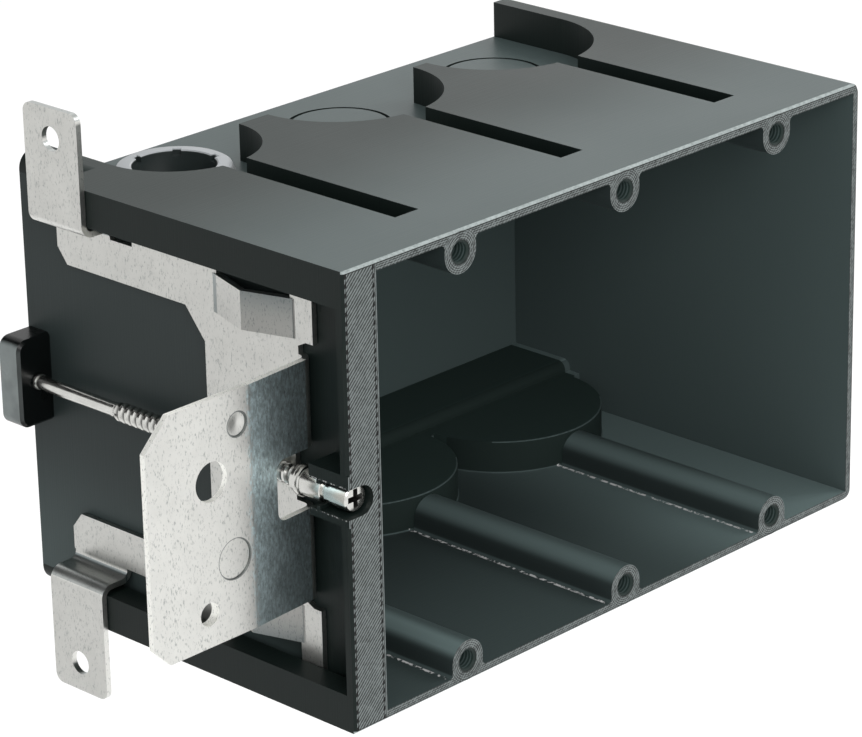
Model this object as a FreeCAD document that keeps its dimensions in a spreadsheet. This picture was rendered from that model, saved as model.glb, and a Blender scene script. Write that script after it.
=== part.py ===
"""Three-gang wall box with an adjustable stud bracket.

X runs across the gangs, Y runs from the front opening into the wall and Z is up.
The origin is the centre of the device-screw pattern, on the plane of the front rim.
"""

import FreeCAD, Part
import os
import re

import Sketcher
from FreeCAD import Placement, Rotation, Vector

# Driving sizes, in millimetres. The word before each size is its name in the sheet.
SIZES = {
    # Housing
    "gang_pitch": "46.04",
    "bracket_margin": "30.76",
    "plain_margin": "26.66",
    "box_depth": "97",
    "box_height": "92.4",
    "wall": "2",
    "corner_radius": "2.2",
    "front_bevel": "0.5",
    # Bosses, whose screw axes are 83.34 apart, and the ridges behind them, cored from outside
    "boss_cover": "4.53",
    "boss_radius": "4.2",
    "core_wall": "1.05",
    "foot_radius": "0.9",
    "screw_hole": "3.8",
    "screw_mouth": "4.9",
    "screw_mouth_depth": "0.4",
    "boss_length": "13.7",
    # Lowered pockets round the knockouts, whose centres lie this far from the back
    "pocket_centre": "20",
    "pocket_depth": "7.8",
    "pocket_wall": "1.5",
    "pocket_radius": "21",
    "first_pocket_radius": "17",
    "pocket_side": "1.3",
    "shelf_front": "18.5",
    "shelf_step": "2.5",
    "shelf_round": "2",
    # Knockouts
    "knockout_centre": "18",
    "knockout_shift": "1",
    "knockout_size": "22.2",
    "knockout_groove": "0.8",
    "knockout_groove_depth": "0.9",
    # Recess for the bracket
    "recess_depth": "7",
    "recess_wall": "1.6",
    "recess_height": "77.4",
    "recess_front": "2",
    "rim_length": "78",
    "rear_edge_radius": "3.5",
    "guide_groove": "1.2",
    # Cradle for the screw's head
    "cradle_length": "10.4",
    "cradle_lower": "4.6",
    "cradle_upper": "5.7",
    "channel_radius": "3",
    # Bracket of one folded sheet
    "sheet": "1.2",
    "sheet_gap": "0.2",
    "bend_radius": "1.5",
    "plate_edge": "0.9",
    "arm_height": "12.1",
    "arm_rear": "85",
    "arm_chamfer": "3.3",
    "web_rear": "43.4",
    "web_slant": "5.1",
    "web_slant_height": "6.2",
    "plate_front": "14",
    "flange_front": "13.9",
    "flange_reach": "42.5",
    "flange_height": "48.6",
    "flange_lean": "1.1",
    "lean_width": "16.8",
    "flange_upper_chamfer": "6",
    "flange_lower_chamfer": "4",
    "relief_width": "2.7",
    "relief_depth": "3.9",
    # Tabs of the bracket
    "tab_front": "69.3",
    "tab_width": "15.4",
    "tab_top": "61.5",
    "tab_corner": "2",
    "tab_hole": "5",
    "tab_hole_height": "55.3",
    "tab_gap": "0.2",
    "shelf_gap": "1",
    "tab_relief": "6.3",
    "tab_relief_height": "3.4",
    # Pressed tongues of the bracket
    "tongue_front": "18.5",
    "tongue_peak": "29.5",
    "tongue_rear": "40.7",
    "tongue_rise": "3.4",
    "tongue_lower": "27.2",
    "tongue_upper": "35",
    # Holes of the flange, measured from the plate's outer face and the flange's middle
    "nail_hole": "7.8",
    "nail_hole_reach": "26.7",
    "nail_hole_height": "8.3",
    "disc_size": "8",
    "disc_reach": "21.6",
    "disc_height": "-8.7",
    "pilot_hole": "4.6",
    "pilot_collar": "5.8",
    "pilot_collar_length": "0.8",
    "pilot_reach": "28.4",
    "pilot_height": "-17.6",
    "dimple_size": "4.8",
    "dimple_reach": "19.8",
    "dimple_height": "17.5",
    "pressed_depth": "0.35",
    "slot_reach": "9.9",
    "slot_height": "12.2",
    "slot_corner": "2",
    "slot_depth": "3.4",
    # Threaded ear of the bracket
    "ear_front": "26",
    "ear_reach": "5.6",
    "ear_height": "9",
    # Adjusting screw
    "screw_axis": "3.6",
    "screw_height": "0.6",
    "head_front": "1.7",
    "head_size": "5.5",
    "cross_width": "1.1",
    "cross_span": "3.9",
    "cross_depth": "1.8",
    "neck_front": "7.5",
    "neck_length": "1",
    "neck_size": "4.4",
    "head_end": "14",
    "collar_size": "6.4",
    "collar_length": "1.6",
    "thread_front": "16.8",
    "thread_size": "4",
    "thread_end": "67.5",
    "shank_size": "2.9",
    "ring_size": "3.4",
    "ring_length": "0.8",
    "running_gap": "0.05",
    # Block that holds the screw's tail
    "tail_length": "6.3",
    "tail_reach": "8.4",
    "tail_height": "18.6",
    "tail_round": "2.4",
    "tail_hole_depth": "4.8",
    "peg_size": "4",
    # Bushing in the open knockout
    "bushing_flange": "25",
    "bushing_flange_height": "3.1",
    "bushing_bore": "17",
    "bushing_sleeve": "5",
    "bushing_slope": "1.2",
    "seat_gap": "0.1",
}

# Places worked out from the sizes.
PLACES = {
    "outer_left": "-(gang_pitch + bracket_margin)",
    "outer_right": "gang_pitch + plain_margin",
    "half_height": "box_height / 2",
    "recess_floor": "outer_left + recess_depth",
    "recess_half": "recess_height / 2",
    "inside_left": "recess_floor + recess_wall",
    "inside_right": "outer_right - wall",
    "inside_half": "half_height - wall",
    "inside_back": "box_depth - wall",
    "boss_height": "half_height - boss_cover",
    "core_radius": "boss_radius - core_wall",
    "pocket_y": "box_depth - pocket_centre",
    "shelf_y": "box_depth - shelf_front",
    "knockout_y": "box_depth - knockout_centre",
    "pocket_floor": "half_height - pocket_depth",
    "platform_face": "pocket_floor - pocket_wall",
    "shelf_face": "platform_face - shelf_step",
    "cradle_bottom": "screw_height - cradle_lower",
    "cradle_top": "screw_height + cradle_upper",
    "screw_x": "recess_floor - screw_axis",
    "neck_channel": "neck_size / 2 + running_gap",
    "neck_rear": "neck_front + neck_length",
    "plate_inner": "recess_floor - sheet_gap",
    "plate_outer": "plate_inner - sheet",
    "plate_half": "recess_half + plate_edge",
    "arm_inner": "recess_half - arm_height",
    "flange_half": "flange_height / 2",
    "flange_tip": "plate_outer - flange_reach",
    "lean_start": "plate_outer - lean_width",
    "flange_root": "flange_front + flange_lean",
    "tab_inner": "outer_left - tab_gap",
    "tab_outer": "tab_inner - sheet",
    "tab_rear": "tab_front + tab_width",
    "tab_middle": "tab_front + tab_width / 2",
    "shelf_top": "recess_half - shelf_gap",
    "shelf_bottom": "shelf_top - sheet",
    "ear_tip": "plate_outer - ear_reach",
    "collar_rear": "head_end + collar_length",
    "tail_front": "box_depth - tail_length",
    "tail_face": "recess_floor - tail_reach",
    "screw_end": "tail_front + tail_hole_depth - running_gap * 6",
    "ring_rear": "tail_front - running_gap * 4",
    "bushing_face": "pocket_floor + bushing_flange_height",
}

GANGS = (-1, 0, 1)
SIDES = (1, -1)
BORED_GANG = -1

# How far a cutting shape reaches past the solid that it cuts
CLEAR = "1"

doc = FreeCAD.newDocument("three_gang_box")

sheet = doc.addObject("Spreadsheet::Sheet", "Sizes")
for row, (alias, size) in enumerate(SIZES.items(), 1):
    sheet.set(f"A{row}", alias)
    sheet.set(f"B{row}", size)
    sheet.setAlias(f"B{row}", alias)
doc.recompute()


def bound(text):
    """The sheet's expression for a size written with the words of SIZES and PLACES."""

    def swap(found):
        word = found.group()
        return f"({bound(PLACES[word])})" if word in PLACES else f"Sizes.{word}"

    return re.sub(r"[a-z][a-z_]*", swap, text)


def number(text):
    """The present value of such a size."""
    return float(sheet.evalExpression(bound(text)))


def tie(thing, **properties):
    """Bind properties of an object to sizes; two underscores stand for a dot."""
    for name, text in properties.items():
        thing.setExpression(name.replace("__", "."), bound(text))


def put(thing, spot, turn=Rotation()):
    """Bind an object's place to sizes."""
    thing.Placement = Placement(Vector(), turn)
    for axis, text in zip("xyz", spot):
        tie(thing, **{f"Placement__Base__{axis}": text})
    return thing


# Plain solids, each between named faces

TURNS = {"x": Rotation(Vector(0, 1, 0), 90), "y": Rotation(Vector(1, 0, 0), -90), "z": Rotation()}


def block(name, x, y, z):
    """A box between a low and a high place along each axis."""
    box = doc.addObject("Part::Box", name)
    for side, (low, high) in zip(("Length", "Width", "Height"), (x, y, z)):
        tie(box, **{side: f"({high}) - ({low})"})
    return put(box, (x[0], y[0], z[0]))


def rod(name, size, start, length, axis):
    """A cylinder of a diameter that starts at a point and runs along an axis."""
    cylinder = doc.addObject("Part::Cylinder", name)
    tie(cylinder, Radius=f"({size}) / 2", Height=length)
    return put(cylinder, start, TURNS[axis])


def cone(name, sizes, start, length, axis):
    """A cone between two diameters."""
    frustum = doc.addObject("Part::Cone", name)
    tie(frustum, Radius1=f"({sizes[0]}) / 2", Radius2=f"({sizes[1]}) / 2", Height=length)
    return put(frustum, start, TURNS[axis])


def join(name, parts):
    """The union of several solids."""
    union = doc.addObject("Part::MultiFuse", name)
    union.Shapes = parts
    return union


def carve(name, base, tools):
    """A solid less several others."""
    cut = doc.addObject("Part::Cut", name)
    cut.Base = base
    cut.Tool = tools[0] if len(tools) == 1 else join(f"{name}_tools", tools)
    return cut


def both_ways(side, low, high):
    """A range of heights above the middle, or its mirror image below."""
    return (low, high) if side > 0 else (f"-({high})", f"-({low})")


def above(side, height):
    return height if side > 0 else f"-({height})"


def gang_x(gang):
    return f"{gang} * gang_pitch"


def along(edge, axis):
    """Whether an edge is straight and runs along an axis."""
    straight = isinstance(edge.Curve, Part.Line)
    return straight and abs(edge.tangentAt(edge.FirstParameter).dot(axis)) > 0.999


def rounded(name, base, radius, wanted, kind="Part::Fillet"):
    """A solid with the wanted edges rounded or bevelled."""
    doc.recompute()
    feature = doc.addObject(kind, name)
    feature.Base = base
    size = number(radius)
    edges = enumerate(base.Shape.Edges, 1)
    feature.Edges = [(index, size, size) for index, edge in edges if wanted(edge)]
    return feature


# Sketched solids

def new_body(label):
    body = doc.addObject("PartDesign::Body", label)
    body.Label = label
    return body


def outline(body, name, role, offset, corners=(), circles=()):
    """A sketch on one of the body's planes: a closed outline of corners, and circles."""
    sketch = body.newObject("Sketcher::SketchObject", name)
    base = next(f for f in body.Origin.OriginFeatures if f.Role == role)
    sketch.AttachmentSupport = (base, [""])
    sketch.MapMode = "FlatFace"
    tie(sketch, AttachmentOffset__Base__z=offset)
    spots = [Vector(number(u), number(v), 0) for u, v in corners]
    for start, end in zip(spots, spots[1:] + spots[:1]):
        sketch.addGeometry(Part.LineSegment(start, end), False)
    for index in range(len(spots)):
        after = (index + 1) % len(spots)
        sketch.addConstraint(Sketcher.Constraint("Coincident", index, 2, after, 1))
    for index, corner in enumerate(corners):
        fix_point(sketch, index, 1, corner)
    for u, v, size in circles:
        middle = Vector(number(u), number(v), 0)
        circle = Part.Circle(middle, Vector(0, 0, 1), number(size) / 2)
        index = sketch.addGeometry(circle, False)
        fix_point(sketch, index, 3, (u, v))
        limit = sketch.addConstraint(Sketcher.Constraint("Diameter", index, number(size)))
        sketch.setExpression(f"Constraints[{limit}]", bound(size))
    return sketch


def fix_point(sketch, index, point, spot):
    """Tie one point of a sketch to its two distances from the origin."""
    for kind, text in zip(("DistanceX", "DistanceY"), spot):
        limit = sketch.addConstraint(Sketcher.Constraint(kind, -1, 1, index, point, number(text)))
        sketch.setExpression(f"Constraints[{limit}]", bound(text))


def pad(body, name, sketch, length, reverse=False, midplane=False):
    feature = body.newObject("PartDesign::Pad", name)
    feature.Profile = sketch
    feature.Reversed = reverse
    feature.Midplane = midplane
    tie(feature, Length=length)
    return feature


def pocket(body, name, sketch, length, reverse=False):
    """A pocket, which is checked to take something away."""
    doc.recompute()
    before = body.Shape.Volume
    feature = body.newObject("PartDesign::Pocket", name)
    feature.Profile = sketch
    feature.Reversed = reverse
    tie(feature, Length=length)
    doc.recompute()
    if body.Shape.Volume >= before:
        raise RuntimeError(f"{name} cuts nothing")
    return feature


def dress(body, kind, name, base, size, wanted):
    """A fillet or chamfer on the wanted edges of a feature."""
    doc.recompute()
    feature = body.newObject(f"PartDesign::{kind}", name)
    edges = enumerate(base.Shape.Edges, 1)
    feature.Base = (base, [f"Edge{index}" for index, edge in edges if wanted(edge)])
    tie(feature, **{"Radius" if kind == "Fillet" else "Size": size})
    doc.recompute()
    return feature


def at(edge, **places):
    """Whether the middle of an edge lies at the given places."""
    middle = edge.BoundBox.Center
    return all(abs(getattr(middle, axis) - place) < 0.01 for axis, place in places.items())


X_AXIS, Y_AXIS, Z_AXIS = Vector(1, 0, 0), Vector(0, 1, 0), Vector(0, 0, 1)


# The housing, moulded in one piece

def shell():
    """The outer walls: an open-fronted tray with the recess floor as its left wall."""
    outer = block("outer_block", ("outer_left", "outer_right"), ("0", "box_depth"),
                  ("-half_height", "half_height"))
    right = number("outer_right")
    soft = rounded("outer_rounded", outer, "corner_radius",
                   lambda edge: along(edge, Y_AXIS) and abs(edge.CenterOfMass.x - right) < 0.01)
    bevelled = rounded("outer_bevelled", soft, "front_bevel",
                       lambda edge: edge.BoundBox.YMax < 0.01, "Part::Chamfer")
    inside = block("inside", ("inside_left", "inside_right"), (f"-{CLEAR}", "inside_back"),
                   ("-inside_half", "inside_half"))
    return carve("shell", bevelled, [inside])


def foot(name, gang, side, edge_side):
    """The rounded foot where a boss ridge meets the wall."""
    flank = f"{gang_x(gang)} + {edge_side} * boss_radius"
    middle = f"{flank} + {edge_side} * foot_radius"
    reach = (flank, middle) if edge_side > 0 else (middle, flank)
    corner = block(f"{name}_corner", reach, ("0", "pocket_y"),
                   both_ways(side, "inside_half - foot_radius", "inside_half"))
    hollow = rod(f"{name}_hollow", "2 * foot_radius",
                 (middle, f"-{CLEAR}", above(side, "inside_half - foot_radius")),
                 f"pocket_y + 2 * {CLEAR}", "y")
    return carve(name, corner, [hollow])


def ridge(gang, side):
    """A screw boss at the front and the ridge that runs back from it, on one wall."""
    name = f"ridge_{'lower' if side < 0 else 'upper'}_{gang + 2}"
    x = gang_x(gang)
    web = block(f"{name}_web", (f"{x} - boss_radius", f"{x} + boss_radius"),
                ("0", "pocket_y"), both_ways(side, "boss_height", "inside_half + wall / 2"))
    crest = rod(f"{name}_crest", "2 * boss_radius", (x, "0", above(side, "boss_height")),
                "pocket_y", "y")
    feet = [foot(f"{name}_foot_{word}", gang, side, way) for word, way in (("a", -1), ("b", 1))]
    return [web, crest, *feet]


def pocket_size(gang):
    """The diameter of the lowered pocket of a gang."""
    return "2 * first_pocket_radius" if gang == BORED_GANG else "2 * pocket_radius"


def platform(side):
    """The inside of the lowered pockets: round platforms, a band and a raised shelf behind."""
    word = "lower" if side < 0 else "upper"
    low, high = both_ways(side, "platform_face", "inside_half + wall / 2")
    parts = [rod(f"platform_{word}_{gang + 2}", f"{pocket_size(gang)} + 2 * pocket_side",
                 (gang_x(gang), "pocket_y", low), f"({high}) - ({low})", "z")
             for gang in GANGS]
    shelf = block(f"shelf_{word}", ("inside_left - recess_wall / 2", "inside_right + wall / 2"),
                  ("shelf_y", "inside_back + wall / 2"),
                  both_ways(side, "shelf_face", "inside_half + wall / 2"))
    crest = number(above(side, "shelf_face"))
    soft_shelf = rounded(f"shelf_{word}_soft", shelf, "shelf_round",
                         lambda edge: along(edge, X_AXIS) and abs(edge.CenterOfMass.z - crest) < 0.01
                         and edge.CenterOfMass.y < number("box_depth - shelf_front / 2"))
    band = block(f"band_{word}", ("inside_left - recess_wall / 2", "inside_right + wall / 2"),
                 ("pocket_y - pocket_side", "inside_back + wall / 2"),
                 both_ways(side, "platform_face", "inside_half + wall / 2"))
    limits = block(f"platform_{word}_limits",
                   ("inside_left - recess_wall / 2", "inside_right + wall / 2"),
                   ("0", "inside_back + wall / 2"),
                   both_ways(side, "shelf_face", "inside_half + wall / 2"))
    kept = doc.addObject("Part::Common", f"platform_{word}")
    kept.Base = join(f"platform_{word}_whole", [*parts, band, soft_shelf])
    kept.Tool = limits
    return kept


def cradle():
    """The block in the front of the recess that the screw's head lies in."""
    return block("cradle_block", ("outer_left", "recess_floor + recess_wall / 2"),
                 ("0", "cradle_length"), ("cradle_bottom", "cradle_top"))


def channel():
    """The open channel through the cradle, narrower where it holds the screw's neck."""
    cuts = []
    stretches = (
        ("front", "2 * channel_radius", f"-{CLEAR}", "neck_front + running_gap * 2"),
        ("neck", "2 * neck_channel", "neck_front", "neck_rear"),
        ("rear", "2 * channel_radius", "neck_rear - running_gap * 2", f"cradle_length + {CLEAR}"),
    )
    for word, size, start, end in stretches:
        cuts.append(rod(f"channel_{word}", size, ("screw_x", start, "screw_height"),
                        f"({end}) - ({start})", "y"))
        cuts.append(block(f"channel_{word}_mouth", (f"outer_left - {CLEAR}", "screw_x"),
                          (start, end),
                          (f"screw_height - ({size}) / 2", f"screw_height + ({size}) / 2")))
    return cuts


def lowered_pockets(side):
    """The pockets outside, open to the back, with a round front for each gang."""
    word = "lower" if side < 0 else "upper"
    low, high = both_ways(side, "pocket_floor", f"half_height + {CLEAR}")
    cuts = [rod(f"pocket_{word}_{gang + 2}", pocket_size(gang), (gang_x(gang), "pocket_y", low),
                f"({high}) - ({low})", "z") for gang in GANGS]
    cuts.append(block(f"pocket_{word}_back",
                      (f"{gang_x(-1)} - first_pocket_radius", f"{gang_x(1)} + pocket_radius"),
                      ("pocket_y", f"box_depth + {CLEAR}"), (low, high)))
    return cuts


def slot(gang, side):
    """The groove that cores a ridge from outside, from the boss to the pocket."""
    name = f"slot_{'lower' if side < 0 else 'upper'}_{gang + 2}"
    x = gang_x(gang)
    trough = block(f"{name}_trough", (f"{x} - core_radius", f"{x} + core_radius"),
                   ("boss_length", "pocket_y"),
                   both_ways(side, "boss_height", f"half_height + {CLEAR}"))
    bottom = rod(f"{name}_bottom", "2 * core_radius", (x, "boss_length", above(side, "boss_height")),
                 "pocket_y - boss_length", "y")
    return [trough, bottom]


def screw_hole(gang, side):
    """A device-screw hole with its widened mouth."""
    name = f"device_hole_{'lower' if side < 0 else 'upper'}_{gang + 2}"
    x, z = gang_x(gang), above(side, "boss_height")
    bore = rod(name, "screw_hole", (x, f"-{CLEAR}", z), f"boss_length + 2 * {CLEAR}", "y")
    mouth = cone(f"{name}_mouth", ("screw_mouth", "screw_hole"), (x, "0", z),
                 "screw_mouth_depth", "y")
    return [bore, mouth]


def knockout(gang, side):
    """The groove round a closed knockout, or the hole of the open one."""
    name = f"knockout_{'lower' if side < 0 else 'upper'}_{gang + 2}"
    x = f"{gang_x(gang)} + knockout_shift"
    low, high = both_ways(side, "pocket_floor - knockout_groove_depth", f"pocket_floor + {CLEAR}")
    if (gang, side) == (BORED_GANG, 1):
        return rod(name, "knockout_size", (x, "knockout_y", "shelf_face - wall"),
                   "pocket_depth + shelf_step + 2 * wall", "z")
    ring = rod(f"{name}_ring", "knockout_size", (x, "knockout_y", low),
               f"({high}) - ({low})", "z")
    island = rod(f"{name}_island", "knockout_size - 2 * knockout_groove",
                 (x, "knockout_y", f"({low}) - {CLEAR}"), f"({high}) - ({low}) + 2 * {CLEAR}", "z")
    return carve(name, ring, [island])


def recess():
    """The space for the bracket: open to the left, and to the back past the two rims."""
    floor = block("recess", (f"outer_left - {CLEAR}", "recess_floor"),
                  ("recess_front", f"box_depth + {CLEAR}"), ("-recess_half", "recess_half"))
    behind = block("recess_behind", (f"outer_left - {CLEAR}", "recess_floor"),
                   ("rim_length", f"box_depth + {CLEAR}"),
                   (f"-half_height - {CLEAR}", f"half_height + {CLEAR}"))
    cuts = [floor, behind]
    for side in SIDES:
        word = "lower" if side < 0 else "upper"
        cuts.append(block(f"guide_{word}",
                          ("plate_outer - sheet_gap", "recess_floor"),
                          ("recess_front", f"box_depth + {CLEAR}"),
                          both_ways(side, "recess_half - sheet_gap", "recess_half + guide_groove")))
    return cuts


def rear_edge(side):
    """What is cut away to round the rear edges of the recess floor."""
    name = f"rear_edge_{'lower' if side < 0 else 'upper'}"
    corner = block(f"{name}_corner",
                   (f"recess_floor - {CLEAR}", "recess_floor + rear_edge_radius"),
                   ("rim_length", f"box_depth + {CLEAR}"),
                   both_ways(side, "half_height - rear_edge_radius", f"half_height + {CLEAR}"))
    kept = rod(f"{name}_kept", "2 * rear_edge_radius",
               ("recess_floor + rear_edge_radius", "rim_length - wall",
                above(side, "half_height - rear_edge_radius")),
               "box_depth - rim_length + 2 * wall", "y")
    return carve(name, corner, [kept])


def gang_box():
    """The whole housing."""
    pairs = [(gang, side) for gang in GANGS for side in SIDES]
    ridges = [piece for gang, side in pairs for piece in ridge(gang, side)]
    walls = join("walls", [shell(), *ridges, *[platform(side) for side in SIDES]])
    opened = carve("walls_with_recess", walls, [*recess(), *[rear_edge(side) for side in SIDES]])
    with_cradle = join("walls_with_cradle", [opened, cradle()])
    cuts = channel()
    for side in SIDES:
        cuts += lowered_pockets(side)
    for gang, side in pairs:
        cuts += [*slot(gang, side), *screw_hole(gang, side), knockout(gang, side)]
    cuts.append(rod("peg_hole", "peg_size + 2 * running_gap",
                    (f"recess_floor - {CLEAR}", "box_depth - tail_length / 2", "screw_height"),
                    f"recess_wall + 2 * {CLEAR}", "x"))
    body = carve("gang_box", with_cradle, cuts)
    body.Refine = True
    body.Label = "gang_box"
    return body


# The bracket, folded from one sheet

def flange_section(body):
    """The flange, its slight lean beside the bend, and the start of the plate."""
    corners = [
        ("flange_tip", "flange_front"),
        ("lean_start", "flange_front"),
        ("plate_inner", "flange_root"),
        ("plate_inner", "flange_root + 4 * sheet"),
        ("plate_outer", "flange_root + 4 * sheet"),
        ("plate_outer", "flange_root + sheet"),
        ("lean_start", "flange_front + sheet"),
        ("flange_tip", "flange_front + sheet"),
    ]
    sketch = outline(body, "flange_section", "XY_Plane", "0", corners)
    return pad(body, "flange", sketch, "flange_height", midplane=True)


def plate(body):
    """The flat plate in the recess: a web in front with an arm above and below."""
    web_front = "flange_root + 2 * sheet"
    upper = [
        (web_front, "flange_half"),
        ("plate_front + relief_depth", "flange_half"),
        ("plate_front + relief_depth", "flange_half + relief_width - 1"),
        ("plate_front + relief_depth - 2", "flange_half + relief_width"),
        ("plate_front", "flange_half + relief_width"),
        ("plate_front", "plate_half"),
        ("tab_front - tab_relief", "plate_half"),
        ("tab_front - tab_relief", "shelf_bottom - tab_relief_height / 2"),
        ("arm_rear", "shelf_bottom - tab_relief_height / 2"),
        ("arm_rear", "arm_inner + arm_chamfer"),
        ("arm_rear - 0.8 * arm_chamfer", "arm_inner"),
        ("web_rear + web_slant", "arm_inner"),
        ("web_rear", "arm_inner - web_slant_height"),
    ]
    lower = [(y, f"-({z})") for y, z in reversed(upper)]
    sketch = outline(body, "plate_outline", "YZ_Plane", "plate_outer", upper + lower)
    return pad(body, "plate", sketch, "sheet")


def tabs(body):
    """The two tabs, each on a shelf folded out of an arm under the rim of the box."""
    foot_z = "shelf_bottom - tab_relief_height / 2 - sheet"
    corners = [
        ("plate_inner", foot_z),
        ("plate_inner", "shelf_top"),
        ("tab_inner", "shelf_top"),
        ("tab_inner", "tab_top"),
        ("tab_outer", "tab_top"),
        ("tab_outer", "shelf_bottom"),
        ("plate_outer", "shelf_bottom"),
        ("plate_outer", foot_z),
    ]
    sketch = outline(body, "tab_section", "XZ_Plane", "-tab_front", corners)
    upper = pad(body, "upper_tab", sketch, "tab_width", reverse=True)
    mirrored = body.newObject("PartDesign::Mirrored", "both_tabs")
    mirrored.Originals = [upper]
    flat = next(f for f in body.Origin.OriginFeatures if f.Role == "XY_Plane")
    mirrored.MirrorPlane = (flat, [""])
    body.Tip = mirrored
    return mirrored


def fold(body, base):
    """The bends between flange, plate, shelves and tabs, round inside and out."""
    inner_bends = [
        dict(x=number("plate_outer"), y=number("flange_root + sheet")),
        *[dict(x=number("plate_outer"), z=side * number("shelf_bottom")) for side in SIDES],
        *[dict(x=number("tab_inner"), z=side * number("shelf_top")) for side in SIDES],
    ]
    outer_bends = [
        dict(x=number("plate_inner"), y=number("flange_root")),
        *[dict(x=number("plate_inner"), z=side * number("shelf_top")) for side in SIDES],
        *[dict(x=number("tab_outer"), z=side * number("shelf_bottom")) for side in SIDES],
    ]
    inside = dress(body, "Fillet", "inner_bends", base, "bend_radius",
                   lambda edge: any(at(edge, **spot) for spot in inner_bends))
    return dress(body, "Fillet", "outer_bends", inside, "bend_radius + sheet",
                 lambda edge: any(at(edge, **spot) for spot in outer_bends))


def trim_corners(body, base):
    """The cut corners of the flange and the round corners of the tabs."""
    tip, half, top = (number(word) for word in ("flange_tip", "flange_half", "tab_top"))
    front, rear = number("tab_front"), number("tab_rear")
    upper = dress(body, "Chamfer", "flange_upper_corner", base, "flange_upper_chamfer",
                  lambda edge: along(edge, Y_AXIS) and at(edge, x=tip, z=half))
    lower = dress(body, "Chamfer", "flange_lower_corner", upper, "flange_lower_chamfer",
                  lambda edge: along(edge, Y_AXIS) and at(edge, x=tip, z=-half))
    return dress(body, "Fillet", "tab_corners", lower, "tab_corner",
                 lambda edge: along(edge, X_AXIS) and any(
                     at(edge, y=y, z=side * top) for y in (front, rear) for side in SIDES))


def tongue(body, side):
    """A tongue pressed out of an arm: a ridge of two slopes, closed at its inner end."""
    word = "lower" if side < 0 else "upper"
    face = [
        ("plate_outer + sheet / 2", "tongue_front"),
        ("plate_outer", "tongue_front"),
        ("plate_outer - tongue_rise", "tongue_peak"),
        ("plate_outer", "tongue_rear"),
        ("plate_outer + sheet / 2", "tongue_rear"),
    ]
    offset = "tongue_lower" if side > 0 else "-tongue_lower"
    sketch = outline(body, f"{word}_tongue_face", "XY_Plane", offset, face)
    pad(body, f"{word}_tongue", sketch, "tongue_upper - tongue_lower", reverse=side < 0)
    hollow = [
        (f"plate_inner + {CLEAR} / 10", "tongue_front + sheet"),
        ("plate_inner - tongue_rise", "tongue_peak"),
        (f"plate_inner + {CLEAR} / 10", "tongue_rear - sheet"),
    ]
    start = "tongue_lower + sheet" if side > 0 else "-(tongue_lower + sheet)"
    inner = outline(body, f"{word}_tongue_hollow", "XY_Plane", start, hollow)
    pocket(body, f"{word}_tongue_inside", inner, "plate_half - tongue_lower", reverse=side > 0)
    notch = [
        (y, above(side, z))
        for y, z in (
            ("tongue_front + sheet", "tongue_upper"),
            ("tongue_rear - sheet", "tongue_upper"),
            ("tongue_rear - sheet", f"plate_half + {CLEAR}"),
            ("tongue_front + sheet", f"plate_half + {CLEAR}"),
        )
    ]
    cut = outline(body, f"{word}_tongue_notch", "YZ_Plane", "plate_outer", notch)
    return pocket(body, f"{word}_notch", cut, "sheet", reverse=True)


def flange_hole(body, name, reach, height, size, depth="4 * sheet", start="flange_front - sheet"):
    """A round hole in the flange, or a shallow one from its front."""
    spot = (f"plate_outer - {reach}", height, size)
    sketch = outline(body, f"{name}_outline", "XZ_Plane", f"-({start})", circles=[spot])
    return pocket(body, name, sketch, depth)


def flange_boss(body, name, reach, height, size, length):
    """A round rise on the back of the flange."""
    spot = (f"plate_outer - {reach}", height, size)
    sketch = outline(body, f"{name}_outline", "XZ_Plane", "-(flange_front + sheet / 2)", circles=[spot])
    return pad(body, name, sketch, f"sheet / 2 + {length}", reverse=True)


def flange_features(body):
    """The open hole, the pressed disc and dimple, the collared hole and the screw's slot."""
    flange_boss(body, "disc_back", "disc_reach", "disc_height", "disc_size", "pressed_depth")
    flange_boss(body, "dimple_back", "dimple_reach", "dimple_height", "dimple_size", "pressed_depth")
    flange_boss(body, "pilot_collar", "pilot_reach", "pilot_height", "pilot_collar",
                "pilot_collar_length")
    flange_hole(body, "nail_hole", "nail_hole_reach", "nail_hole_height", "nail_hole")
    flange_hole(body, "pilot_hole", "pilot_reach", "pilot_height", "pilot_hole")
    flange_hole(body, "disc_front", "disc_reach", "disc_height", "disc_size",
                "pressed_depth + sheet")
    flange_hole(body, "dimple_front", "dimple_reach", "dimple_height", "dimple_size",
                "pressed_depth + sheet")
    corners = [
        (f"plate_inner + {CLEAR}", "screw_height - slot_height / 2"),
        (f"plate_inner + {CLEAR}", "screw_height + slot_height / 2"),
        ("plate_outer - slot_reach", "screw_height + slot_height / 2"),
        ("plate_outer - slot_reach", "screw_height - slot_height / 2"),
    ]
    sketch = outline(body, "screw_slot_outline", "XZ_Plane", "-(flange_front - sheet)", corners)
    slot_cut = pocket(body, "screw_slot", sketch,
                      "flange_lean + 2 * sheet + slot_depth")
    left = number("plate_outer - slot_reach")
    heights = [number(f"screw_height {sign} slot_height / 2") for sign in "+-"]
    return dress(body, "Fillet", "screw_slot_corners", slot_cut, "slot_corner",
                 lambda edge: along(edge, Y_AXIS) and any(
                     abs(edge.CenterOfMass.x - left) < 0.01 and abs(edge.CenterOfMass.z - z) < 0.01
                     for z in heights))


def ear(body):
    """The threaded ear behind the flange that the screw drives."""
    low, high = "screw_height - ear_height / 2", "screw_height + ear_height / 2"
    corners = [
        ("plate_outer + sheet / 2", low),
        ("plate_outer + sheet / 2", high),
        ("ear_tip", high),
        ("ear_tip", low),
    ]
    sketch = outline(body, "ear_outline", "XZ_Plane", "-ear_front", corners)
    pad(body, "ear", sketch, "sheet", reverse=True)
    bore = outline(body, "ear_bore_outline", "XZ_Plane", "-(ear_front - sheet)",
                   circles=[("screw_x", "screw_height", "thread_size + 2 * running_gap")])
    return pocket(body, "ear_bore", bore, "3 * sheet")


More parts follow.
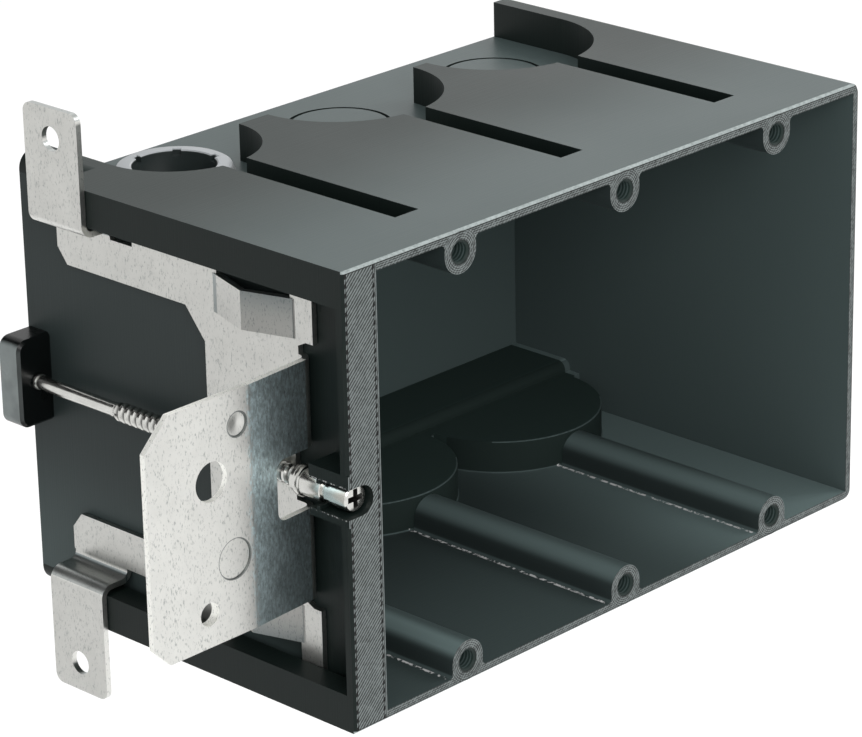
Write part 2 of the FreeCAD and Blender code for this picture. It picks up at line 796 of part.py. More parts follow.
def tab_holes(body):
    """The nail hole of each tab."""
    spots = [("tab_middle", above(side, "tab_hole_height"), "tab_hole") for side in SIDES]
    sketch = outline(body, "tab_hole_outline", "YZ_Plane", f"tab_outer - {CLEAR}", circles=spots)
    return pocket(body, "tab_holes", sketch, f"sheet + 2 * {CLEAR}", reverse=True)


def stud_bracket():
    """The whole bracket."""
    body = new_body("stud_bracket")
    flange_section(body)
    plate(body)
    folded = fold(body, tabs(body))
    trim_corners(body, folded)
    for side in SIDES:
        tongue(body, side)
    flange_features(body)
    ear(body)
    tab_holes(body)
    return body


# The adjusting screw

def adjusting_screw():
    """Head with a cross recess, neck, collar, thread at its full size, and long thin shank."""
    body = new_body("adjusting_screw")
    half_sizes = (
        ("head_front", "head_size / 2"),
        ("neck_front", "head_size / 2"),
        ("neck_front", "neck_size / 2"),
        ("neck_rear", "neck_size / 2"),
        ("neck_rear", "head_size / 2"),
        ("head_end", "head_size / 2"),
        ("head_end", "collar_size / 2"),
        ("collar_rear", "collar_size / 2"),
        ("collar_rear", "head_size / 2"),
        ("thread_front", "head_size / 2"),
        ("thread_front", "thread_size / 2"),
        ("thread_end", "thread_size / 2"),
        ("thread_end + thread_size / 2 - shank_size / 2", "shank_size / 2"),
        ("ring_rear - ring_length", "shank_size / 2"),
        ("ring_rear - ring_length", "ring_size / 2"),
        ("ring_rear", "ring_size / 2"),
        ("ring_rear", "shank_size / 2"),
        ("screw_end", "shank_size / 2"),
    )
    corners = [("screw_x", "head_front")]
    corners += [(f"screw_x + {reach}", y) for y, reach in half_sizes]
    corners += [("screw_x", "screw_end")]
    sketch = outline(body, "screw_section", "XY_Plane", "screw_height", corners)
    axis_line = sketch.addGeometry(
        Part.LineSegment(Vector(number("screw_x"), 0, 0), Vector(number("screw_x"), 1, 0)), True)
    fix_point(sketch, axis_line, 1, ("screw_x", "0"))
    fix_point(sketch, axis_line, 2, ("screw_x", "1"))
    turned = body.newObject("PartDesign::Revolution", "turned")
    turned.Profile = sketch
    turned.ReferenceAxis = (sketch, ["Axis0"])
    turned.Angle = 360
    doc.recompute()
    for word, wide, high in (("level", "cross_span", "cross_width"),
                             ("upright", "cross_width", "cross_span")):
        low_x, high_x = f"screw_x - {wide} / 2", f"screw_x + {wide} / 2"
        low_z, high_z = f"screw_height - {high} / 2", f"screw_height + {high} / 2"
        slot_sketch = outline(body, f"cross_{word}_outline", "XZ_Plane", "-head_front",
                              [(low_x, low_z), (high_x, low_z), (high_x, high_z), (low_x, high_z)])
        pocket(body, f"cross_{word}", slot_sketch, "cross_depth")
    return body


# The block that holds the screw's tail

def tail_block():
    """A rounded block at the back of the recess, with a bore and a peg in the floor."""
    body = new_body("tail_block")
    bottom, top = "screw_height - tail_height / 2", "screw_height + tail_height / 2"
    corners = [("tail_face", bottom), ("recess_floor", bottom), ("recess_floor", top), ("tail_face", top)]
    sketch = outline(body, "tail_outline", "XZ_Plane", "-tail_front", corners)
    solid = pad(body, "tail_solid", sketch, "tail_length", reverse=True)
    face = number("tail_face")
    soft = dress(body, "Fillet", "tail_rounding", solid, "tail_round",
                 lambda edge: along(edge, Y_AXIS) and abs(edge.CenterOfMass.x - face) < 0.01)
    dress(body, "Chamfer", "tail_edges", soft, "tail_round / 4",
          lambda edge: edge.BoundBox.YLength < 0.01 and edge.CenterOfMass.x < face + 5)
    peg = outline(body, "peg_outline", "YZ_Plane", "recess_floor - wall / 2",
                  circles=[("box_depth - tail_length / 2", "screw_height", "peg_size")])
    pad(body, "peg", peg, "wall / 2 + recess_wall")
    bore = outline(body, "tail_bore_outline", "XZ_Plane", "-tail_front",
                   circles=[("screw_x", "screw_height", "shank_size + 2 * running_gap")])
    pocket(body, "tail_bore", bore, "tail_hole_depth")
    return body


# The bushing in the open knockout

def cable_bushing():
    """A flanged ring that guards a cable in the open knockout."""
    body = new_body("cable_bushing")
    x = f"{gang_x(BORED_GANG)} + knockout_shift"
    sleeve = "knockout_size / 2 - seat_gap"
    section = [
        ("bushing_bore / 2", "bushing_face"),
        ("bushing_flange / 2 - bushing_slope", "bushing_face"),
        ("bushing_flange / 2", "pocket_floor + bushing_slope / 3"),
        ("bushing_flange / 2", "pocket_floor"),
        (sleeve, "pocket_floor"),
        (sleeve, "pocket_floor - bushing_sleeve"),
        (f"{sleeve} - wall / 2", "pocket_floor - bushing_sleeve - wall / 2"),
        ("bushing_bore / 2", "pocket_floor - bushing_sleeve - wall / 2"),
    ]
    corners = [(f"{x} + {reach}", z) for reach, z in section]
    sketch = outline(body, "bushing_section", "XZ_Plane", "-knockout_y", corners)
    axis_line = sketch.addGeometry(
        Part.LineSegment(Vector(number(x), 0, 0), Vector(number(x), 1, 0)), True)
    fix_point(sketch, axis_line, 1, (x, "0"))
    fix_point(sketch, axis_line, 2, (x, "1"))
    turned = body.newObject("PartDesign::Revolution", "turned_ring")
    turned.Profile = sketch
    turned.ReferenceAxis = (sketch, ["Axis0"])
    turned.Angle = 360
    doc.recompute()
    return body


def find_faults(parts):
    """What failed to build, in words."""
    faults = [thing.Name for thing in doc.Objects
              if any(word in state for state in thing.State for word in ("Invalid", "Error"))]
    faults += [part.Label for part in parts if part.Shape.isNull() or not part.Shape.isValid()]
    return faults


pieces = [gang_box(), stud_bracket(), adjusting_screw(), tail_block(), cable_bushing()]
doc.recompute()
faults = find_faults(pieces)
if faults:
    raise RuntimeError(f"these did not build: {faults}")

os.makedirs("parts", exist_ok=True)
for piece in pieces:
    piece.Shape.exportStep(f"parts/{piece.Label}.step")
    print(piece.Label, len(piece.Shape.Solids), round(piece.Shape.Volume / 1000, 2), "cm3")
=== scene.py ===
# %% [markdown]
# # A three-gang wall box with a stud bracket
# The real object is a deep plastic box for three switches. A galvanised steel
# bracket runs in a recess on its left side, and a long screw moves it in and out.
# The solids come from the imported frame, in metres: X across the gangs, Y into the
# wall and Z up. This script gives them their finishes, adds the small forms that
# the solids leave out, and sets up a plain studio.

import math

import bmesh
import bpy
from mathutils import Matrix, Vector


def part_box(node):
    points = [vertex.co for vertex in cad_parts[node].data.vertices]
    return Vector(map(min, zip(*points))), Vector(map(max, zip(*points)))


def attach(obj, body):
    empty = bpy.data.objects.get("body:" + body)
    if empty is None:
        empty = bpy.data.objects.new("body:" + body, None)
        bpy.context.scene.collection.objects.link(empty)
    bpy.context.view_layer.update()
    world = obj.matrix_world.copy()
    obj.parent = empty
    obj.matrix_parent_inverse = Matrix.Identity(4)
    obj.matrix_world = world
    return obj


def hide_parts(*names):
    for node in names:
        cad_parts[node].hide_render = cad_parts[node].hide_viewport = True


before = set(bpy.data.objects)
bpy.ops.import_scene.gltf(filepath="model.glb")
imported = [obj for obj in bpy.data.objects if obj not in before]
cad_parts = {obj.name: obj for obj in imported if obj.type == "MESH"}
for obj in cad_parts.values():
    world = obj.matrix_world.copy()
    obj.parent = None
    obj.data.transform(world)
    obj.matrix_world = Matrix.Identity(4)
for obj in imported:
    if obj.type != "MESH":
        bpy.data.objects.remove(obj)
MM = 0.001
TURN = 2 * math.pi
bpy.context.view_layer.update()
print("nodes:", ", ".join(sorted(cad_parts)))

# %% [markdown]
# ## The camera
# The picture is a product shot from the front left and above. A long lens keeps
# the edges nearly parallel. The camera's place and direction were solved from the
# six screw holes, whose spacing is a trade standard, and from the box's long
# edges. The lens has no shift, so the upright edges lean a little.

# %% Camera
IMAGE_WIDTH = 862
FOCAL_PIXELS = 3948.7
SENSOR_WIDTH = 36.0
CAMERA_PLACE = Vector((-0.5416, -0.4752, 0.2891))
LOOK = Vector((0.6660, 0.6497, -0.3664)).normalized()
RIGHT = Vector((0.6926, -0.7210, -0.0196)).normalized()


def make_camera():
    """A camera with its axes along the solved directions."""
    data = bpy.data.cameras.new("camera")
    data.sensor_width = SENSOR_WIDTH
    data.lens = FOCAL_PIXELS / IMAGE_WIDTH * SENSOR_WIDTH
    data.clip_start, data.clip_end = 0.01, 100.0
    camera = bpy.data.objects.new("camera", data)
    bpy.context.scene.collection.objects.link(camera)
    up = RIGHT.cross(LOOK).normalized()
    right = LOOK.cross(up)
    turn = Matrix((right, up, -LOOK)).transposed()
    camera.matrix_world = Matrix.Translation(CAMERA_PLACE) @ turn.to_4x4()
    bpy.context.scene.camera = camera
    return camera


camera = make_camera()
print("lens:", round(camera.data.lens, 1), "mm")

# %% [markdown]
# ## The studio
# The photograph has a white ground without shadow. A white floor well under the
# part and an even white sky give that. Three soft lamps do the rest: one above the
# camera reaches into the box, a small one at the front right draws the bright
# lines on the bevels, and one behind the right end brightens the top there. Bright
# metal shows only what it mirrors, so two dark cards, which the camera doesn't
# see, stand at the left for the bends and the screw to mirror.

# %% Studio
FLOOR_DEPTH = -0.45
FLOOR_SIZE = 60.0
SKY_LEVEL = 1.05


def make_floor():
    """A wide white floor, out of reach of the part's shadow."""
    mesh = bpy.data.meshes.new("floor")
    half = FLOOR_SIZE / 2
    corners = [(-half, -half), (half, -half), (half, half), (-half, half)]
    mesh.from_pydata([(x, y, FLOOR_DEPTH) for x, y in corners], [], [(0, 1, 2, 3)])
    floor = bpy.data.objects.new("floor", mesh)
    bpy.context.scene.collection.objects.link(floor)
    return floor


def make_sky(level):
    """An even white sky."""
    world = bpy.data.worlds.new("studio")
    world.use_nodes = True
    background = world.node_tree.nodes["Background"]
    background.inputs["Color"].default_value = (1, 1, 1, 1)
    background.inputs["Strength"].default_value = level
    bpy.context.scene.world = world


def make_softbox(name, direction, distance, size, brightness):
    """A square area light that faces the part from a direction.

    It gives off its energy over pi times its area, so its brightness stays when
    its size changes.
    """
    data = bpy.data.lights.new(name, "AREA")
    data.shape = "SQUARE"
    data.size = size
    data.energy = brightness * math.pi * size ** 2
    lamp = bpy.data.objects.new(name, data)
    lamp.location = Vector(direction).normalized() * distance
    lamp.rotation_mode = "QUATERNION"
    lamp.rotation_quaternion = (-lamp.location).to_track_quat("-Z", "Y")
    lamp.visible_camera = False
    bpy.context.scene.collection.objects.link(lamp)
    return lamp


def make_card(name, direction, distance, size):
    """A square dark card that faces the part from a direction."""
    mesh = bpy.data.meshes.new(name)
    toward = Vector(direction).normalized()
    turn = toward.to_track_quat("Z", "Y").to_matrix()
    half = size / 2
    corners = [(-half, -half, 0), (half, -half, 0), (half, half, 0), (-half, half, 0)]
    mesh.from_pydata([turn @ Vector(corner) + toward * distance for corner in corners], [],
                     [(3, 2, 1, 0)])
    card = bpy.data.objects.new(name, mesh)
    card.visible_camera = False
    bpy.context.scene.collection.objects.link(card)
    return card


floor = make_floor()
make_sky(SKY_LEVEL)
lamps = [
    make_softbox("key", direction=(-0.46, -0.72, 0.46), distance=1.3, size=0.5,
                 brightness=8.0),
    make_softbox("bevel_light", direction=(0.666, -0.365, 0.649), distance=1.2, size=0.4,
                 brightness=6.0),
    make_softbox("back_right_light", direction=(0.80, 0.54, 0.46), distance=1.4, size=0.7,
                 brightness=0.9),
]
cards = [
    make_card("left_card", direction=(-0.95, 0.05, -0.30), distance=1.0, size=0.7),
    make_card("upper_card", direction=(-0.34, 0.65, 0.65), distance=1.2, size=0.9),
]
bpy.context.scene.view_settings.view_transform = "Standard"
print("studio:", len(lamps), "lamps and", len(cards), "cards")

# %% [markdown]
# ## Writing node maths as Python
# A finish here is a sum of masks and noises, and a thread is a rule for a radius.
# Chains of Math nodes are hard to read, so one small class wraps a socket and
# overloads the operators: an expression such as 1 - mask * 0.4 adds the Math nodes
# by itself. It serves materials and Geometry Nodes alike.

# %% Sockets that add Math nodes


class Socket:
    """A value in a node tree that adds Math nodes as it is reckoned with."""

    def __init__(self, tree, link):
        self.tree, self.link = tree, link

    def maths(self, operation, *values):
        """A Math node on the given values, of which this socket is one."""
        return self.tree.node("ShaderNodeMath", {"operation": operation}, *values)

    def __add__(self, other):
        return self.maths("ADD", self, other)

    __radd__ = __add__

    def __sub__(self, other):
        return self.maths("SUBTRACT", self, other)

    def __rsub__(self, other):
        return self.maths("SUBTRACT", other, self)

    def __mul__(self, other):
        return self.maths("MULTIPLY", self, other)

    __rmul__ = __mul__

    def __truediv__(self, other):
        return self.maths("DIVIDE", self, other)

    def __gt__(self, other):
        return self.maths("GREATER_THAN", self, other)

    def __lt__(self, other):
        return self.maths("LESS_THAN", self, other)

    def __abs__(self):
        return self.maths("ABSOLUTE", self)

    def sine(self):
        return self.maths("SINE", self)

    def cosine(self):
        return self.maths("COSINE", self)

    def root(self):
        return self.maths("SQRT", self)

    def floored(self):
        return self.maths("FLOOR", self)

    def rounded(self):
        return self.maths("ROUND", self)

    def fraction(self):
        return self.maths("FRACT", self)

    def least(self, other):
        """The smaller of two values."""
        return self.maths("MINIMUM", self, other)

    def most(self, other):
        """The larger of two values."""
        return self.maths("MAXIMUM", self, other)

    def wrapped(self, period):
        """The distance to the nearest multiple of a period, with its sign."""
        return self.maths("WRAP", self, period / 2, -period / 2)


# %% [markdown]
# Both kinds of tree get their nodes from one method. It takes the node's type, its
# settings, and then the values or links of its inputs, by order or by name. None
# leaves an input as it is, which a Mix node needs: its colours are its seventh and
# eighth inputs, behind those for numbers and vectors.

# %% Trees


class Tree:
    """Adds nodes to one node tree from few words."""

    def node(self, kind, settings, *values, out=0, **named):
        """One of a new node's outputs."""
        made = self.tree.nodes.new(kind)
        for key, value in settings.items():
            setattr(made, key, value)
        for place, value in enumerate(values):
            self.feed(made.inputs[place], value)
        for name, value in named.items():
            self.feed(made.inputs[name.replace("_", " ")], value)
        return Socket(self, made.outputs[out])

    def feed(self, slot, value):
        """A link or a plain value for an input, or neither for None."""
        if isinstance(value, Socket):
            self.tree.links.new(value.link, slot)
        elif value is not None:
            slot.default_value = value

    def split(self, vector, scale=1.0):
        """The three parts of a vector, each times a scale."""
        parts = self.node("ShaderNodeSeparateXYZ", {}, vector).link.node.outputs
        return [Socket(self, parts[axis]) * scale for axis in "XYZ"]

    def smooth(self, value, low, high):
        """0 below low, 1 above high, and smooth between."""
        return self.node("ShaderNodeMapRange", {"interpolation_type": "SMOOTHSTEP"},
                         value, low, high, 0.0, 1.0)


# %% Materials as trees


class Shader(Tree):
    """One node material."""

    def __init__(self, name):
        self.material = bpy.data.materials.new(name)
        self.material.use_nodes = True
        self.tree = self.material.node_tree
        self.tree.nodes.clear()

    def place(self):
        """Object coordinates, and their three parts in millimetres."""
        spot = self.node("ShaderNodeTexCoord", {}, out="Object")
        return spot, *self.split(spot, 1 / MM)

    def facing(self):
        """The three parts of the surface's own direction."""
        return self.split(self.node("ShaderNodeTexCoord", {}, out="Normal"))

    def noise(self, spot, scale, detail=2.0, roughness=0.5):
        """A cloudy pattern around 0.5, with about as many clouds to a metre as scale says."""
        return self.node("ShaderNodeTexNoise", {}, Vector=spot, Scale=scale, Detail=detail,
                         Roughness=roughness)

    def stretched(self, spot, scale):
        """The same coordinates, scaled along each axis."""
        return self.node("ShaderNodeMapping", {}, Vector=spot, Scale=scale)

    def mix(self, share, first, second):
        """A blend of two colours."""
        others = [None] * 5
        return self.node("ShaderNodeMix", {"data_type": "RGBA"}, share, *others, first, second,
                         out=2)

    def levels(self, share, low, high, tint):
        """From one level of a tint to another."""
        return self.mix(share, grey(low, tint), grey(high, tint))

    def layered(self, colour, *layers):
        """A colour with pairs of a share and a colour laid over it in turn."""
        for share, layer in layers:
            colour = self.mix(share, colour, layer)
        return colour

    def bump(self, height, strength, distance):
        """The surface's direction as a height from 0 to 1 would bend it."""
        return self.node("ShaderNodeBump", {}, Strength=strength, Distance=distance,
                         Height=height)

    def surface(self, **inputs):
        """The finished shader: plain values and links of the Principled node."""
        shader = self.node("ShaderNodeBsdfPrincipled", {}, **inputs)
        output = self.tree.nodes.new("ShaderNodeOutputMaterial")
        self.feed(output.inputs["Surface"], shader)
        return self.material


def grey(level, tint=(1.0, 1.0, 1.0)):
    """A colour of one level with a slight tint."""
    return (level * tint[0], level * tint[1], level * tint[2], 1.0)


def between(value, low, high):
    """1 where a value lies between two limits."""
    return (value > low) * (value < high)


def near(value, place, reach):
    """1 within a reach of a place."""
    return abs(value - place) < reach


def apart(across, up):
    """The distance between two points that are so far apart across and up."""
    return (across * across + up * up).root()


def wave(value, period):
    """A ripple from 0 to 1, with one crest to each period."""
    return (value * (TURN / period)).sine() * 0.5 + 0.5


# %% [markdown]
# ## Places on the box
# The finishes follow the box's own forms, so its main places are named here. The
# outer faces come from the frame. The gang pitch is that of the record's mounts,
# and the other places are those of the solids.

# %% Places, in millimetres
LOW, HIGH = (tuple(v / MM for v in corner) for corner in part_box("gang_box"))
OUTER_LEFT, OUTER_RIGHT = LOW[0], HIGH[0]
HALF_HEIGHT, DEPTH = HIGH[2], HIGH[1]
WALL = 2.0
HALF_WALL = WALL / 2
STRIP_WIDTH = 8.6
INSIDE_LEFT = OUTER_LEFT + STRIP_WIDTH
INNER_HEIGHT = HALF_HEIGHT - WALL
PITCH = 46.04
BOSS_HEIGHT = HALF_HEIGHT - 4.53
BOSS_RADIUS, HOLE_RADIUS = 4.2, 2.3
BOSS_ROOT = BOSS_HEIGHT - 4.6
POCKET_Y = DEPTH - 20
PLATFORM_FACE = HALF_HEIGHT - 9.3
SHELF_FACE = PLATFORM_FACE - 2.5
POCKET_FLOOR = PLATFORM_FACE + 0.8
SLOT_REACH = 3.65
PLATFORM_RADIUS, FIRST_PLATFORM_RADIUS = 22.3, 18.3
SCREW_X, SCREW_Z = -73.4, 0.6
CRADLE_RADIUS, CRADLE_START, CRADLE_END = 3.0, 0.6, 15.0
print("box:", [round(place, 1) for place in (OUTER_LEFT, OUTER_RIGHT, HALF_HEIGHT, DEPTH)])

# %% How far a mask reaches past a face, and round an edge
SKIN = 0.1
EDGE = 0.3

# %% How squarely a face points a way
SQUARE_ON = 0.9
NOT_SIDEWAYS = 0.8

# %% [markdown]
# ## The box plastic
# The box in the picture is printed, layer on layer from its back to its front rim.
# The last layer shows on the rim: two beads run along each edge, and slanting
# rows fill the wide strip between them, with a small void where rows turn. On the
# other faces the layers are fine lines across Y. Everything is height for one bump
# and a slight change of colour, so that the lines also catch the light.

# %% The last layer, on the front rim
BEAD = 0.45
ROW = 0.905
ROW_SHARE = 0.4
VOID_PITCH = 2 * ROW
VOID_PLACE = 0.75
VOID_WIDTH, VOID_HEIGHT, VOID_SLANT = 0.48, 0.9, 0.5
BEVEL, BEVEL_START, BEVEL_GROOVE = 0.5, 0.02, 0.22


def boss_distance(x, z):
    """The distance from the axis of the nearest screw boss."""
    return apart(x.wrapped(PITCH), abs(z) - BOSS_HEIGHT)


def edge_distance(x):
    """How far a point of the wide left strip is from the strip's nearer edge."""
    return (x - OUTER_LEFT).least(INSIDE_LEFT - x)


def outer_distance(x, z):
    """How far a point lies past the top, bottom or right face, below 0 within them."""
    return (abs(z) - HALF_HEIGHT).most(x - OUTER_RIGHT)


def last_layer(x, z):
    """The height of the printed rows on the rim, from 0 to 1."""
    edge = edge_distance(x)
    wide = edge > 0
    inner = edge > 2 * BEAD
    rows = wave(x - z, ROW)
    strip = rows * inner + wave(edge, BEAD) * (1 - inner)
    boss = boss_distance(x, z)
    ringed = boss < BOSS_RADIUS + BEAD
    beads = wave(boss, BEAD) * ringed + wave(outer_distance(x, z), BEAD) * (1 - ringed)
    narrow = beads * (1 - ROW_SHARE) + rows * ROW_SHARE
    return strip * wide + narrow * (1 - wide)


def voids(x, z):
    """The small dark gaps where the rows meet the beads."""
    column = near(edge_distance(x), VOID_PLACE, VOID_WIDTH / 2)
    return column * near((z - x * VOID_SLANT).wrapped(VOID_PITCH), 0, VOID_HEIGHT / 2)


def bevels(x, y, z):
    """The bevel round the front, where a painted highlight runs."""
    return (outer_distance(x, z) > -BEVEL) * between(y, BEVEL_START, BEVEL)


def bevel_shadow(x, y, z):
    """The thin groove between the bevel and the outermost bead."""
    return between(outer_distance(x, z), -BEVEL - BEVEL_GROOVE, -BEVEL) * (y < SKIN)


# %% [markdown]
# Inside, the picture shows several tones, and they are painted in as light and
# shade. The walls take a lighter grey than outside as painted light, the round
# platforms behind are painted nearly black as shade, and the floor is painted
# lighter to the right and darker at the back. Each lower ridge has a painted
# highlight band along its upper left flank and painted shade below, and the upper
# ridges are painted darker. Painted glints run along each ridge's foot, and a thin
# painted highlight line along the rim and the foot of each platform's front.

# %% Where the inside, its platforms and their painted highlight lines are
PLATFORM_LIP, SHELF_LIP = 1.3, 1.5
LINE_REACH = 0.25
LINE_END = POCKET_Y - PLATFORM_RADIUS * 0.62


def platform_distance(x, y):
    """How far outside the edge of the nearest round platform a point lies."""
    first = x < -PITCH / 2
    radius = PLATFORM_RADIUS - first * (PLATFORM_RADIUS - FIRST_PLATFORM_RADIUS)
    return apart(x.wrapped(PITCH), y - POCKET_Y) - radius


def inside(x, y, z):
    """1 on the walls of the device space, and not in the pockets and slots."""
    room = between(x, INSIDE_LEFT - SKIN, OUTER_RIGHT - WALL + SKIN) * between(
        y, SKIN / 2, DEPTH - HALF_WALL) * (abs(z) < INNER_HEIGHT + SKIN)
    behind = (platform_distance(x, y) < -HALF_WALL).most(y > POCKET_Y + HALF_WALL)
    pocket = behind * (abs(z) > POCKET_FLOOR)
    slot = near(x.wrapped(PITCH), 0, SLOT_REACH) * (abs(z) > BOSS_HEIGHT)
    slot = slot.most(boss_distance(x, z) < SLOT_REACH)
    return room * (1 - pocket.most(slot))


def platform(x, y, z, side_x):
    """1 on the round platforms and the shelf behind them, but not on the end walls: where
    painted shade goes.
    """
    distance = platform_distance(x, y)
    flat = between(abs(z), SHELF_FACE - 2 * SKIN, PLATFORM_FACE + EDGE)
    shelf = (distance < PLATFORM_LIP).most(y > POCKET_Y - SHELF_LIP)
    top = flat * shelf * (abs(side_x) < NOT_SIDEWAYS)
    upright = between(abs(z), PLATFORM_FACE, INNER_HEIGHT - EDGE)
    front = near(distance, 0, EDGE) * (y < POCKET_Y) * upright
    return top.most(front) * (y < DEPTH - WALL - SKIN) * (x < 1.5 * PITCH)


def platform_highlight_lines(x, y, z):
    """1 on the rim and the foot of each platform's front, where a painted highlight line runs.
    """
    rim = near(abs(z), PLATFORM_FACE, LINE_REACH)
    foot = near(abs(z), INNER_HEIGHT, 2 * SKIN)
    return near(platform_distance(x, y), 0, LINE_REACH) * rim.most(foot) * (y < LINE_END)


# %% Painted glints
RIDGE_FOOT = BOSS_RADIUS + 0.85
CRADLE_LIP, LIP_REACH = CRADLE_RADIUS + 0.2, 0.14
GLINT_REACH = 0.4
CRADLE_GLINT_SHARE = 0.5
RIDGE_GRAINS, CRADLE_GRAINS = 1300.0, 2400.0


def ridge_glints(shader, spot, x, y, z):
    """Painted glints along the left foot of each lower ridge."""
    beside = near(x.wrapped(PITCH), -RIDGE_FOOT, EDGE)
    low = between(z, -INNER_HEIGHT - SKIN, -INNER_HEIGHT + GLINT_REACH)
    grains = shader.smooth(shader.noise(spot, scale=RIDGE_GRAINS), 0.44, 0.56)
    return beside * low * grains * (y > 1)


def cradle_glints(shader, spot, x, y, z):
    """Sparse painted glints along both lips of the screw's cradle."""
    lip = near(abs(z - SCREW_Z), CRADLE_LIP, LIP_REACH) * (x < OUTER_LEFT + GLINT_REACH)
    grains = shader.smooth(shader.noise(spot, scale=CRADLE_GRAINS), 0.52, 0.62)
    return lip * between(y, CRADLE_START, CRADLE_END) * grains


# %% Shares of the inside grey, which paint light and shade
FLOOR_SHARE, FLOOR_RIGHT_LIGHT, FLOOR_BACK_SHADE = 0.7, 1.6, 0.25
RIDGE_SHARE, RIDGE_HIGHLIGHT_MORE, RIDGE_SHADE_LESS = 0.9, 0.65, 0.5
FIRST_HIGHLIGHT_MORE = 0.7
UPPER_RIDGE_SHADE_SHARE = 0.4
RIDGE_REACH = BOSS_RADIUS + 0.9
FLOOR_RIGHT, FLOOR_BACK = (12.0, 58.0), (5.0, 65.0)
BAND_START, BAND_END, FLANK_END = (-0.97, -0.7), (-0.6, 0.1), (-0.99, -0.85)


def floor_light_share(shader, x, y):
    """How much of the inside grey the floor takes: less at the left and the back, as painted
    light and shade.
    """
    right, back = shader.smooth(x, *FLOOR_RIGHT), shader.smooth(y, *FLOOR_BACK)
    return right * FLOOR_RIGHT_LIGHT - back * FLOOR_BACK_SHADE + FLOOR_SHARE


def ridge_light_share(shader, x, z, side_x):
    """The same on the ridges: a painted highlight band above, painted shade on the flanks below,
    and painted shade on the upper ridges.
    """
    band = shader.smooth(side_x, *BAND_START) * (1 - shader.smooth(side_x, *BAND_END)) * (
        abs(z) < BOSS_HEIGHT + EDGE)
    flank = 1 - shader.smooth(side_x, *FLANK_END)
    more = (x < -PITCH / 2) * FIRST_HIGHLIGHT_MORE + RIDGE_HIGHLIGHT_MORE
    lower = band * more - flank * RIDGE_SHADE_LESS + RIDGE_SHARE
    return lower * (z < 0) + (z > 0) * UPPER_RIDGE_SHADE_SHARE


def inside_light_share(shader, x, y, z, side_x, side_z):
    """1 on the walls, and by place on the floor and on the ridges, where light and shade are
    painted.
    """
    on_ridge = near(x.wrapped(PITCH), 0, RIDGE_REACH) * between(
        abs(z), BOSS_ROOT, INNER_HEIGHT - EDGE / 2)
    on_floor = (side_z > SQUARE_ON) * (z < 0) * (1 - on_ridge)
    return on_floor * floor_light_share(shader, x, y) + on_ridge * ridge_light_share(
        shader, x, z, side_x) + (1 - on_floor.most(on_ridge))


# %% [markdown]
# The whole finish lays one colour over another, each by its own mask. A mask can be
# more than 1 for a place that is lighter than the rest, but a Mix node stops at 1.
# So the inside's share is divided by 2, and the grey that it leads to is doubled.

# %% Greys and tints of the plastic
GREEN_TINT = (0.76, 1.04, 1.03)
DEEP_TINT = (0.68, 1.15, 1.04)
RIM_TINT = (0.90, 1.02, 1.01)
OUTSIDE_GREY = 0.009
# The inside is painted lighter than outside, as painted light.
INSIDE_LIT_GREY, BRIGHTEST = 0.080, 2.0
PLATFORM_SHADE_GREY = 0.032
HIGHLIGHT_LINE_GREY = 0.10
GROOVE_GREY, ROW_GREY = 0.035, 0.17
BEVEL_HIGHLIGHT_GREY = 0.36
# Painted sheen on the top and painted shade at its rear; painted light on the recess wall.
TOP_SHEEN_GREY, TOP_REAR_SHADE_GREY = 0.078, 0.018
RECESS_LIT_GREY, RECESS_LOW_LIT_GREY = 0.028, 0.064
VOID_GREY, GLINT_GREY = 0.002, 0.6
TOP_REAR, RECESS_REAR = (8.0, 58.0), (10.0, 40.0)
RECESS_UPPER = (-HALF_HEIGHT * 0.9, -HALF_HEIGHT * 0.2)
RIM_HEIGHT = 4.0


def outside_colour(shader, x, y, z, side_x, side_z):
    """Nearly black, with a top lighter by painted sheen and darker to the rear by painted shade,
    and a wall in the recess lighter by painted light.
    """
    # Painted sheen on the top and bottom faces, fading to painted shade towards the rear.
    rear_shade = (abs(z) > HALF_HEIGHT - HALF_WALL) * shader.smooth(y, *TOP_REAR)
    upper = shader.smooth(z, *RECESS_UPPER)
    # Painted light on the recess wall: lighter low down and towards the back.
    recess = (side_x < -SQUARE_ON) * between(x, OUTER_LEFT + BEVEL, INSIDE_LEFT + 3) * (
        abs(z) < HALF_HEIGHT - RIM_HEIGHT) * shader.smooth(y, *RECESS_REAR)
    return shader.layered(
        grey(OUTSIDE_GREY, DEEP_TINT),
        (side_z * z > POCKET_FLOOR - EDGE,
         shader.mix(rear_shade, grey(TOP_SHEEN_GREY, GREEN_TINT), grey(TOP_REAR_SHADE_GREY, DEEP_TINT))),
        (recess, shader.levels(upper, RECESS_LOW_LIT_GREY, RECESS_LIT_GREY, GREEN_TINT)),
    )


def lit_inside_colour(shader, x, y, z, side_x, side_z):
    """The grey of the device space, by place: painted light and shade."""
    share = inside_light_share(shader, x, y, z, side_x, side_z) / BRIGHTEST
    return shader.levels(share, 0.0, BRIGHTEST * INSIDE_LIT_GREY, GREEN_TINT)


# %% The whole finish
GRIT_HEIGHT, PATCH_HEIGHT = 1.3, 0.8
BEVEL_SHADOW = 0.7
HOLE_PITCH, HOLE_CREST = 0.8, 0.6
LAYER_HEIGHT = 0.4
FRONT_SHADE = 0.4


def broken_rows(shader, spot, x, z, grit):
    """The last layer's height, uneven with grit and faint patches."""
    patches = shader.noise(spot, scale=420.0, detail=1.0)
    height = last_layer(x, z) + (grit - 0.5) * GRIT_HEIGHT + (patches - 0.5) * PATCH_HEIGHT
    return shader.smooth(height, 0.15, 0.85)


